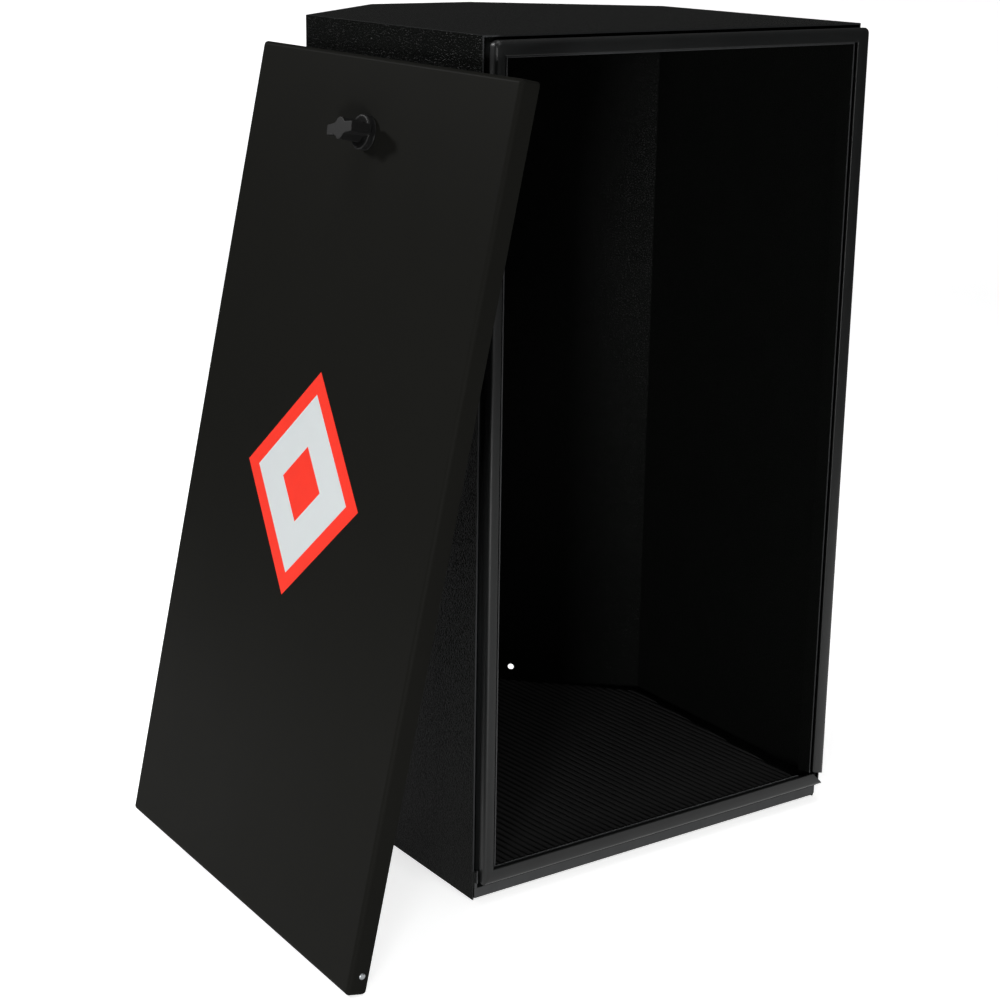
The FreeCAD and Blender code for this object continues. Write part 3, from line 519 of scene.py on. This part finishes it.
def closed_mesh(name, bm, smooth_under=None):
    """Merge, orient and store a bmesh; edges sharper than an angle in degrees stay crisp."""
    bmesh.ops.remove_doubles(bm, verts=bm.verts, dist=1e-7)
    bmesh.ops.dissolve_degenerate(bm, dist=1e-8, edges=bm.edges)
    bmesh.ops.recalc_face_normals(bm, faces=bm.faces)
    mesh = bpy.data.meshes.new(name)
    bm.to_mesh(mesh)
    bm.free()
    if smooth_under is not None:
        mesh.shade_smooth()
        mesh.set_sharp_from_angle(angle=math.radians(smooth_under))
    return mesh


def axes_frame(x_axis, y_axis, z_axis, place):
    """The matrix of three axes and a place."""
    columns = (x_axis, y_axis, z_axis, place)
    return Matrix([[column[row] for column in columns] for row in range(3)] + [[0, 0, 0, 1]])


def door_frame():
    """The door's own axes: right along its width, back into it, up its face, from the foot of its middle."""
    out = Vector(LATCH_JOINT["axis"]).normalized()
    right = Vector((0, 0, 1)).cross(out).normalized()
    up = right.cross(-out)
    return axes_frame(right, -out, up, Vector(LATCH_JOINT["pos_m"]) - up * LATCH_UP_DOOR)


def latch_frame(tilt=0.0):
    """The door's axes moved up to the latch and turned by the wing's tilt."""
    raised = door_frame() @ Matrix.Translation((0, 0, LATCH_UP_DOOR))
    return raised @ Matrix.Rotation(math.radians(-tilt), 4, "Y")


def turned_profile(bm, profile, steps=64):
    """Revolve a closed outline of (radius, depth) pairs about the Y axis."""
    turns = [2 * math.pi * k / steps for k in range(steps)]
    rings = [[bm.verts.new((radius * math.cos(turn), depth, radius * math.sin(turn))) for turn in turns]
             for radius, depth in profile]
    for here, there in zip(rings, rings[1:] + rings[:1]):
        band(bm, here, there)


class GASCABINET_OT_shell(bpy.types.Operator):
    """Walls, lid, floor pan and front frame"""
    bl_idname = "gas_cabinet.shell"
    bl_label = "Cabinet shell"

    def execute(self, context):
        sizes = settings().sheet
        colours = settings().colours
        # The second and third materials are painted highlights: a lighter coat on edges that face forward or
        # up, lighter still on the sill's top edge
        finish = [grained_coat(), edge_coat("thin_edge_coat_with_painted_highlight", colours.cut_edge_highlight),
                  edge_coat("sill_edge_painted_highlight", colours.sill_edge_highlight)]
        mesh = self.walls_and_lid(sizes.lid_edge)
        mark_cut_edges(mesh, sizes.strip)
        add_piece("walls_and_lid", soft_edges("walls_and_lid", mesh, sizes.edge), finish, "cabinet",
                  ["body_wrap", "top_panel"])
        for name, node in (
            ("floor_pan", "base_pan"), ("jamb_left", "left_jamb"), ("jamb_right", "right_jamb"),
            ("rail_head", "head_rail"), ("rail_sill", "sill_rail"),
            ("hook_left", "left_door_hook"), ("hook_right", "right_door_hook"),
        ):
            mesh = merged_copy(node, cut_rings=node == "base_pan")
            # On the sill the painted highlight also covers forward faces up to the nose's width, and its top
            # edge gets the brighter painted highlight
            mark_cut_edges(mesh, sizes.nose if node == "sill_rail" else sizes.strip)
            if node == "sill_rail":
                mark_top_edge(mesh)
            add_piece(name, soft_edges(name, mesh, sizes.edge), finish, "cabinet", [node])
        return {"FINISHED"}

    @staticmethod
    def walls_and_lid(radius):
        """Walls and lid as one skin, since the coat fills the seam, with the fold between them rounded."""
        lid = new_object("lid_work", merged_copy("top_panel"))
        mesh = with_modifiers("walls_and_lid", merged_copy("body_wrap"), [
            ("BOOLEAN", {"operation": "UNION", "object": lid, "solver": "EXACT"})])
        bpy.data.objects.remove(lid)
        bm = bmesh.new()
        bm.from_mesh(mesh)
        make_whole(bm)
        lid_level = max(v.co.z for v in bm.verts) - 0.01 * MM
        upright = 0.1
        folds = [e for e in bm.edges if min(v.co.z for v in e.verts) > lid_level and len(e.link_faces) == 2
                 and min(abs(f.normal.z) for f in e.link_faces) < upright]
        bmesh.ops.bevel(bm, geom=folds, offset=radius, segments=4, profile=0.5, affect="EDGES",
                        clamp_overlap=True)
        bm.to_mesh(mesh)
        bm.free()
        return mesh


class GASCABINET_OT_seal(bpy.types.Operator):
    """Flat-fronted rubber section round the opening, its foot drawn in, its cut ends hollow"""
    bl_idname = "gas_cabinet.seal"
    bl_label = "Door seal"

    def execute(self, context):
        sizes = settings().seal
        base = SEAL_HIGH.y
        rise = SEAL_HIGH.y - SEAL_LOW.y
        hollow_depth = 20 * MM
        stations = self.stations(sizes)
        section = self.section(sizes, rise, 0.0)
        hollow = self.section(sizes, rise, sizes.wall)
        bm = bmesh.new()
        rings = [self.ring(bm, inner, outer, base, section) for inner, outer in stations]
        self.skin(bm, rings)
        for end, inward in ((0, 1), (-1, -2)):
            inner, outer = stations[end]
            lip = self.ring(bm, inner, outer, base, hollow)
            self.skin(bm, [rings[end], lip])
            drift = (stations[inward][0] - inner).normalized() * hollow_depth
            deep = self.ring(bm, inner + drift, outer + drift, base, hollow)
            self.skin(bm, [lip, deep])
            bm.faces.new(deep)
        mesh = closed_mesh("bulb_seal", bm, smooth_under=40)
        add_piece("bulb_seal", mesh, [extruded_rubber()], "cabinet", ["door_seal"])
        return {"FINISHED"}

    @staticmethod
    def stations(sizes):
        """Pairs of inner and outer points along the seal, from the lower right corner round to it again."""
        x0, x1, z0, z1 = SEAL_LOW.x, SEAL_HIGH.x + sizes.overhang, SEAL_LOW.z, SEAL_HIGH.z
        left, right, top, foot = sizes.left_width, sizes.right_width, sizes.top_width, sizes.foot_width
        corner_steps = 8
        corners = [
            (Vector((x0, z0)), Vector((1, 0)), Vector((0, 1)), foot, left, sizes.foot_corner),
            (Vector((x0, z1)), Vector((0, -1)), Vector((1, 0)), left, top, sizes.corner),
            (Vector((x1, z1)), Vector((-1, 0)), Vector((0, -1)), top, right, sizes.corner),
        ]
        found = [(Vector((x1 - right, z0 + foot)), Vector((x1, z0)))]
        for corner, arriving, leaving, before, after, radius in corners:
            inner = corner + arriving * after + leaving * before
            found.append((inner, corner + arriving * after))
            centre = corner + (arriving + leaving) * radius
            for k in range(corner_steps + 1):
                angle = math.pi / 2 * k / corner_steps
                outward = leaving * radius * math.cos(angle)
                backward = arriving * radius * math.sin(angle)
                found.append((inner, centre - outward - backward))
            found.append((inner, corner + leaving * before))
        end = z0 + foot + sizes.gap
        found.append((Vector((x1 - right, end)), Vector((x1, end - sizes.end_drop))))
        return found

    @staticmethod
    def section(sizes, rise, wall):
        """Points of the section as a share of its width and a height, drawn in by a wall for the hollow."""
        width = sizes.width
        near, far = sizes.inner_round, sizes.outer_round
        top = rise - sizes.crown
        turns = [math.pi / 2 * k / sizes.arc_steps for k in range(sizes.arc_steps + 1)]
        points = [(sizes.neck, 0.0), (sizes.neck, sizes.neck_rise)]
        for angle in turns:
            points.append((near - near * math.cos(angle), top - near + near * math.sin(angle)))
        points.append((width / 2, rise))
        for angle in turns:
            points.append((width - far + far * math.sin(angle), top - far + far * math.cos(angle)))
        for angle in turns[1:]:
            points.append((width - sizes.outer_neck * (1 - math.cos(angle)),
                           top - far - (top - far - sizes.neck_rise) * math.sin(angle)))
        points.append((width - sizes.outer_neck, 0.0))
        middle = (sizes.neck + width - sizes.outer_neck) / 2
        depth = rise / 2
        share = 2 * wall / width
        return [((x + (middle - x) * share) / width, h + (depth - h) * share) for x, h in points]

    @staticmethod
    def ring(bm, inner, outer, base, section):
        """The section's vertices at one station."""
        verts = []
        for share, height in section:
            spot = inner.lerp(outer, share)
            verts.append(bm.verts.new((spot.x, base - height, spot.y)))
        return verts

    @staticmethod
    def skin(bm, rings):
        """The faces along a run of rings."""
        for here, there in zip(rings, rings[1:]):
            band(bm, here, there)


class GASCABINET_OT_mat(bpy.types.Operator):
    """Loose rubber mat cut to six corners, its ribs a few degrees off square"""
    bl_idname = "gas_cabinet.mat"
    bl_label = "Floor mat"

    def execute(self, context):
        sizes = settings().mat
        material = mat_rubber()
        half = MAT_HIGH.x
        # the blank stands over the ribs by this much, so that it trims them to the full height
        spare = 1 * MM
        plan = [(-sizes.front_half, MAT_LOW.y), (sizes.front_half, MAT_LOW.y), (half, sizes.shoulder),
                (sizes.back_half, MAT_HIGH.y), (-sizes.back_half, MAT_HIGH.y), (-half, sizes.shoulder)]
        blank = prism([(x, y, MAT_LOW.z) for x, y in plan], [(x, y, MAT_HIGH.z + spare) for x, y in plan])
        holder = new_object("ribbed_mat_work", closed_mesh("ribbed_mat_blank", blank))
        tree = self.rib_tree(material)
        modifier = holder.modifiers.new("ribs", "NODES")
        modifier.node_group = tree
        values = {
            "Count": 2 * math.ceil(half / sizes.rib_pitch + 2), "Pitch": sizes.rib_pitch,
            "Width": sizes.rib_width, "Height": sizes.rib_height, "Edge": sizes.rib_edge,
            "Turn": sizes.rib_turn, "Reach": 4 * half, "Top": MAT_HIGH.z, "Spare": spare,
        }
        for item in tree.interface.items_tree:
            if item.name in values:
                modifier[item.identifier] = values[item.name]
        mesh = evaluated(holder, "ribbed_mat")
        mesh.shade_smooth()
        mesh.set_sharp_from_angle(angle=math.radians(35))
        add_piece("ribbed_mat", mesh, [material], "cabinet", ["floor_mat"])
        return {"FINISHED"}

    @staticmethod
    def rib_tree(material):
        """Geometry nodes: a turned row of rounded ribs, trimmed to the blank and set on its base."""
        tree = bpy.data.node_groups.new("mat_ribs", "GeometryNodeTree")
        face = tree.interface
        face.new_socket("Geometry", in_out="INPUT", socket_type="NodeSocketGeometry")
        face.new_socket("Count", in_out="INPUT", socket_type="NodeSocketInt")
        for name in ("Pitch", "Width", "Height", "Edge", "Turn", "Reach", "Top", "Spare"):
            face.new_socket(name, in_out="INPUT", socket_type="NodeSocketFloat")
        face.new_socket("Geometry", in_out="OUTPUT", socket_type="NodeSocketGeometry")
        given = add_node(tree, "NodeGroupInput").outputs

        def figure(operation, first, second):
            return add_node(tree, "ShaderNodeMath", {0: first, 1: second}, operation=operation).outputs[0]

        def along(axis, amount):
            return add_node(tree, "ShaderNodeCombineXYZ", {axis: amount}).outputs[0]

        span = figure("MULTIPLY", figure("SUBTRACT", given["Count"], 1.0), given["Pitch"])
        level = figure("SUBTRACT", given["Top"], given["Height"])
        start = add_node(tree, "ShaderNodeCombineXYZ", {"X": figure("MULTIPLY", span, -0.5), "Z": level})
        row = add_node(tree, "GeometryNodeMeshLine", {
            "Count": given["Count"], "Start Location": start.outputs[0],
            "Offset": along("X", given["Pitch"])}, mode="OFFSET")
        half_reach = figure("MULTIPLY", given["Reach"], 0.5)
        spine = add_node(tree, "GeometryNodeCurvePrimitiveLine", {
            "Start": along("Y", figure("MULTIPLY", half_reach, -1.0)), "End": along("Y", half_reach)})
        box = add_node(tree, "GeometryNodeCurvePrimitiveQuadrilateral", {
            "Width": given["Width"], "Height": figure("MULTIPLY", given["Height"], 2.0)})
        rounded = add_node(tree, "GeometryNodeFilletCurve", {
            "Curve": box.outputs[0], "Radius": given["Edge"], "Count": 4}, mode="POLY")
        rib = add_node(tree, "GeometryNodeCurveToMesh", {
            "Curve": spine.outputs[0], "Profile Curve": rounded.outputs[0], "Fill Caps": True})
        ribs = add_node(tree, "GeometryNodeInstanceOnPoints", {
            "Points": row.outputs[0], "Instance": rib.outputs[0]})
        real = add_node(tree, "GeometryNodeRealizeInstances", {"Geometry": ribs.outputs[0]})
        turned = add_node(tree, "GeometryNodeTransform", {
            "Geometry": real.outputs[0], "Rotation": along("Z", given["Turn"])})
        trimmed = add_node(tree, "GeometryNodeMeshBoolean", operation="INTERSECT", solver="EXACT")
        tree.links.new(turned.outputs[0], trimmed.inputs[1])
        tree.links.new(given["Geometry"], trimmed.inputs[1])
        place = add_node(tree, "GeometryNodeInputPosition")
        height = add_node(tree, "ShaderNodeSeparateXYZ", {0: place.outputs[0]}).outputs["Z"]
        sink = figure("MULTIPLY", figure("ADD", given["Height"], given["Spare"]), -1.0)
        base = add_node(tree, "GeometryNodeSetPosition", {
            "Geometry": given["Geometry"], "Selection": figure("GREATER_THAN", height, given["Top"]),
            "Offset": along("Z", sink)})
        whole = add_node(tree, "GeometryNodeJoinGeometry", {"Geometry": base.outputs[0]})
        tree.links.new(trimmed.outputs[0], whole.inputs[0])
        made = add_node(tree, "GeometryNodeSetMaterial", {"Geometry": whole.outputs[0], "Material": material})
        add_node(tree, "NodeGroupOutput", {"Geometry": made.outputs[0]})
        return tree


class GASCABINET_OT_door(bpy.types.Operator):
    """Door tray and the two pins it hangs on"""
    bl_idname = "gas_cabinet.door"
    bl_label = "Door"

    def execute(self, context):
        sizes = settings().sheet
        dress("door_tray", "door_panel", sizes.edge, satin_coat(), "door")
        zinc = zinc_plate()
        for name, node in (("hook_pin_left", "left_door_pin"), ("hook_pin_right", "right_door_pin")):
            dress(name, node, sizes.small_edge, zinc, "door", segments=3)
        return {"FINISHED"}


class GASCABINET_OT_decal(bpy.types.Operator):
    """Plain lozenge of printed film in the middle of the door"""
    bl_idname = "gas_cabinet.decal"
    bl_label = "Lozenge decal"

    def execute(self, context):
        sizes = settings().decal
        bm = bmesh.new()
        levels = []
        for reach, depth in ((sizes.outer, 0.0), (sizes.outer, -sizes.gauge), (sizes.field, -sizes.gauge),
                             (sizes.heart, -sizes.gauge)):
            levels.append([bm.verts.new((sizes.across + reach * x, depth, sizes.up + reach * z))
                           for x, z in ((1, 0), (0, 1), (-1, 0), (0, -1))])
        red, bare = 0, 1
        for here, there, ink in zip(levels, levels[1:], (red, red, bare)):
            band(bm, here, there, ink)
        bm.faces.new(levels[3]).material_index = red
        bm.faces.new(levels[0]).material_index = bare
        mesh = closed_mesh("lozenge_film", bm)
        mesh.transform(door_frame())
        colours = settings().colours
        inks = [printed_film("printed_red_vinyl", colours.print_red),
                printed_film("white_vinyl", colours.film)]
        add_piece("lozenge_film", mesh, inks, "door", ["lozenge_decal"])
        return {"FINISHED"}


class GASCABINET_OT_latch_mount(bpy.types.Operator):
    """Escutcheon with its barrel, the washer under it and the nut behind the door"""
    bl_idname = "gas_cabinet.latch_mount"
    bl_label = "Latch escutcheon"

    def execute(self, context):
        sizes = settings().latch
        dip, slope, soft, steps = 0.9 * MM, 1.4 * MM, 1.1 * MM, 6
        profile = [(sizes.bore, -sizes.face + dip), (sizes.dish - slope, -sizes.face + dip),
                   (sizes.dish, -sizes.face)]
        for k in range(steps + 1):
            angle = math.pi / 2 * k / steps
            profile.append((sizes.rim - soft + soft * math.sin(angle),
                            -sizes.face + soft - soft * math.cos(angle)))
        profile += [(sizes.rim, -sizes.gasket), (sizes.barrel, -sizes.gasket),
                    (sizes.barrel, sizes.barrel_rear), (sizes.bore, sizes.barrel_rear)]
        bm = bmesh.new()
        turned_profile(bm, profile)
        mesh = closed_mesh("escutcheon", bm, smooth_under=35)
        mesh.transform(latch_frame())
        plastic = moulded_polyamide()
        add_piece("escutcheon", mesh, [plastic], "door", ["latch_body"])
        edge = settings().sheet.small_edge
        dress("escutcheon_washer", "latch_gasket", edge, extruded_rubber(), "door")
        dress("clamp_nut", "latch_nut", edge, plastic, "door")
        return {"FINISHED"}


class GASCABINET_OT_latch_wing(bpy.types.Operator):
    """Wing knob, spindle, cam and their fastening"""
    bl_idname = "gas_cabinet.latch_wing"
    bl_label = "Wing latch"

    def execute(self, context):
        sizes = settings().latch
        knee = math.asin(sizes.wing_root / sizes.hub)
        crest = math.pi / 2
        # angle by which the hub's middle corner sits past half way
        lean = 0.18
        quarter = [(sizes.hub * math.cos(a), sizes.hub * math.sin(a))
                   for a in (knee, (knee + crest) / 2 + lean, crest)]
        right_top = [(sizes.wing, sizes.wing_tip)] + quarter
        left_top = [(-x, z) for x, z in reversed(right_top)][1:]
        half = right_top + left_top
        outline = half + [(-x, -z) for x, z in half]
        block = prism([(x, -sizes.knob_face, z) for x, z in outline],
                      [(x, -sizes.knob_rear, z) for x, z in outline])
        mesh = soft_edges("wing_knob", closed_mesh("wing_knob_block", block), sizes.knob_edge, segments=3)
        mesh.transform(latch_frame(WING_TILT))
        add_piece("wing_knob", mesh, [moulded_polyamide()], "latch", ["latch_knob"])
        zinc = zinc_plate()
        edge = settings().sheet.small_edge
        for name, node in (("spindle", "latch_spindle"), ("cam", "latch_cam"), ("cam_disc", "cam_washer"),
                           ("cam_bolt", "cam_screw")):
            dress(name, node, edge, zinc, "latch")
        return {"FINISHED"}


# Each lamp's name, place, aim, side in metres and power in watts
LAMPS = (
    ("rear_left_lamp", (-1.5, 1.75, 1.5), (-0.2, -0.05, 0.5), 0.3, 36),
    ("front_lamp", (0.1, -1.9, 2.0), (0, -0.17, 0.2), 0.5, 8),
    ("low_lamp", (-1.34, -1.26, 0.2), (0.16, 0.06, 0.35), 0.24, 15),
    ("top_lamp", (-0.2, -0.2, 2.6), (0, 0, 0.4), 1.6, 24),
)
WORLD_LIGHT = 0.06
# The camera fitted to the photograph's edges; lens and film in millimetres
CAMERA_LENS = 74.95
CAMERA_FILM = 36.0
CAMERA_RIGHT = Vector((0.82198, -0.56933, 0.01473))
CAMERA_UP = Vector((0.14973, 0.24098, 0.95891))
CAMERA_BACK = Vector((-0.54949, -0.786, 0.28332))
CAMERA_PLACE = Vector((-0.93118, -1.28774, 0.70225))
# The paper, square to the camera's level direction
PAPER_AHEAD = Vector((0.573, 0.8195, 0))
PAPER_HALF = 1.09
PAPER_FRONT, PAPER_REAR = -3.2, 2.6
PAPER_BEND, PAPER_BEND_STEPS = 0.4, 12
PAPER_TOP = 0.6
PAPER_SINK = 0.5 * MM
PAPER_WHITE = "#EDEDED"
PAPER_GLOW = 0.74


class GASCABINET_OT_stage(bpy.types.Operator):
    """White paper under and behind the object, soft lamps and the camera"""
    bl_idname = "gas_cabinet.stage"
    bl_label = "Stage"

    def execute(self, context):
        scene = bpy.context.scene
        scene.view_settings.view_transform = "Standard"
        self.surroundings(scene)
        self.paper_sweep()
        self.lamps()
        self.camera(scene)
        return {"FINISHED"}

    @staticmethod
    def lamps():
        """Square lamps, each turned to its aim."""
        for name, place, aim, side, power in LAMPS:
            lamp = bpy.data.lights.new(name, "AREA")
            lamp.size = side
            lamp.energy = power
            holder = new_object(name, lamp)
            holder.location = place
            holder.rotation_euler = (Vector(aim) - Vector(place)).to_track_quat("-Z", "Y").to_euler()

    @staticmethod
    def camera(scene):
        """The photograph's view."""
        camera = bpy.data.cameras.new("photo_camera")
        camera.sensor_width = CAMERA_FILM
        camera.lens = CAMERA_LENS
        camera.clip_end = 50.0
        holder = new_object("photo_camera", camera)
        holder.matrix_world = axes_frame(CAMERA_RIGHT, CAMERA_UP, CAMERA_BACK, CAMERA_PLACE)
        scene.camera = holder

    @staticmethod
    def surroundings(scene):
        """A dim even world, so that the black coats stay black."""
        world = bpy.data.worlds.new("dim_studio")
        scene.world = world
        world.use_nodes = True
        tree = world.node_tree
        tree.nodes.clear()
        air = add_node(tree, "ShaderNodeBackground", {"Color": (1, 1, 1, 1), "Strength": WORLD_LIGHT})
        add_node(tree, "ShaderNodeOutputWorld", {"Surface": air.outputs[0]})

    def paper_sweep(self):
        """A roll of white paper under the object, turned up behind it, square to the camera's view."""
        flat_end = PAPER_REAR - PAPER_BEND
        profile = [(PAPER_FRONT, 0.0), (flat_end, 0.0)]
        for k in range(1, PAPER_BEND_STEPS + 1):
            angle = math.pi / 2 * k / PAPER_BEND_STEPS
            profile.append((flat_end + PAPER_BEND * math.sin(angle),
                            PAPER_BEND - PAPER_BEND * math.cos(angle)))
        profile.append((PAPER_REAR, PAPER_TOP))
        across = Vector((PAPER_AHEAD.y, -PAPER_AHEAD.x, 0))
        bm = bmesh.new()
        left, right = [
            [bm.verts.new(across * side + PAPER_AHEAD * run + Vector((0, 0, rise - PAPER_SINK)))
             for run, rise in profile]
            for side in (-PAPER_HALF, PAPER_HALF)]
        for k in range(len(profile) - 1):
            bm.faces.new((left[k], right[k], right[k + 1], left[k + 1]))
        mesh = bpy.data.meshes.new("paper_sweep")
        bm.to_mesh(mesh)
        bm.free()
        mesh.shade_smooth()
        sheet = new_object("paper_sweep", mesh)
        mesh.materials.append(self.paper())

    @staticmethod
    def paper():
        """Matt white paper that reads as pure white, yet keeps the object's shadow."""
        material, tree = new_material("matt_white_paper")
        if tree is None:
            return material
        path = add_node(tree, "ShaderNodeLightPath").outputs
        mirror = add_node(tree, "ShaderNodeMath", {0: path["Is Glossy Ray"], 1: path["Is Transmission Ray"]},
                          operation="MAXIMUM")
        seen = add_node(tree, "ShaderNodeMath", {0: path["Is Camera Ray"], 1: mirror.outputs[0]},
                        operation="MAXIMUM")
        glow = add_node(tree, "ShaderNodeMath", {0: seen.outputs[0], 1: PAPER_GLOW}, operation="MULTIPLY")
        shader = add_node(tree, "ShaderNodeBsdfPrincipled", {
            "Base Color": (*linear(PAPER_WHITE), 1), "Roughness": 0.9, "Specular IOR Level": 0.0,
            "Emission Color": (1, 1, 1, 1), "Emission Strength": glow.outputs[0]})
        finish_material(tree, shader)
        return material


class GASCABINET_PT_panel(bpy.types.Panel):
    """Buttons that build the cabinet piece by piece"""
    bl_idname = "GASCABINET_PT_panel"
    bl_label = "Gas bottle cabinet"
    bl_space_type = "VIEW_3D"
    bl_region_type = "UI"
    bl_category = "Cabinet"

    def draw(self, context):
        for operator in OPERATORS:
            self.layout.operator(operator.bl_idname)


OPERATORS = (
    GASCABINET_OT_shell,
    GASCABINET_OT_seal,
    GASCABINET_OT_mat,
    GASCABINET_OT_door,
    GASCABINET_OT_decal,
    GASCABINET_OT_latch_mount,
    GASCABINET_OT_latch_wing,
    GASCABINET_OT_stage,
)
CLASSES = (FinishColours, SheetSizes, SealSizes, MatSizes, DecalSizes, LatchSizes, CabinetSettings,
           *OPERATORS, GASCABINET_PT_panel)


def register():
    for item in CLASSES:
        bpy.utils.register_class(item)
    bpy.types.Scene.gas_cabinet = PointerProperty(type=CabinetSettings)


def unregister():
    del bpy.types.Scene.gas_cabinet
    for item in reversed(CLASSES):
        bpy.utils.unregister_class(item)


def main():
    """Build everything."""
    register()
    bpy.ops.gas_cabinet.shell()
    bpy.ops.gas_cabinet.seal()
    bpy.ops.gas_cabinet.mat()
    bpy.ops.gas_cabinet.door()
    bpy.ops.gas_cabinet.decal()
    bpy.ops.gas_cabinet.latch_mount()
    bpy.ops.gas_cabinet.latch_wing()
    bpy.ops.gas_cabinet.stage()


if __name__ == "__main__":
    main()
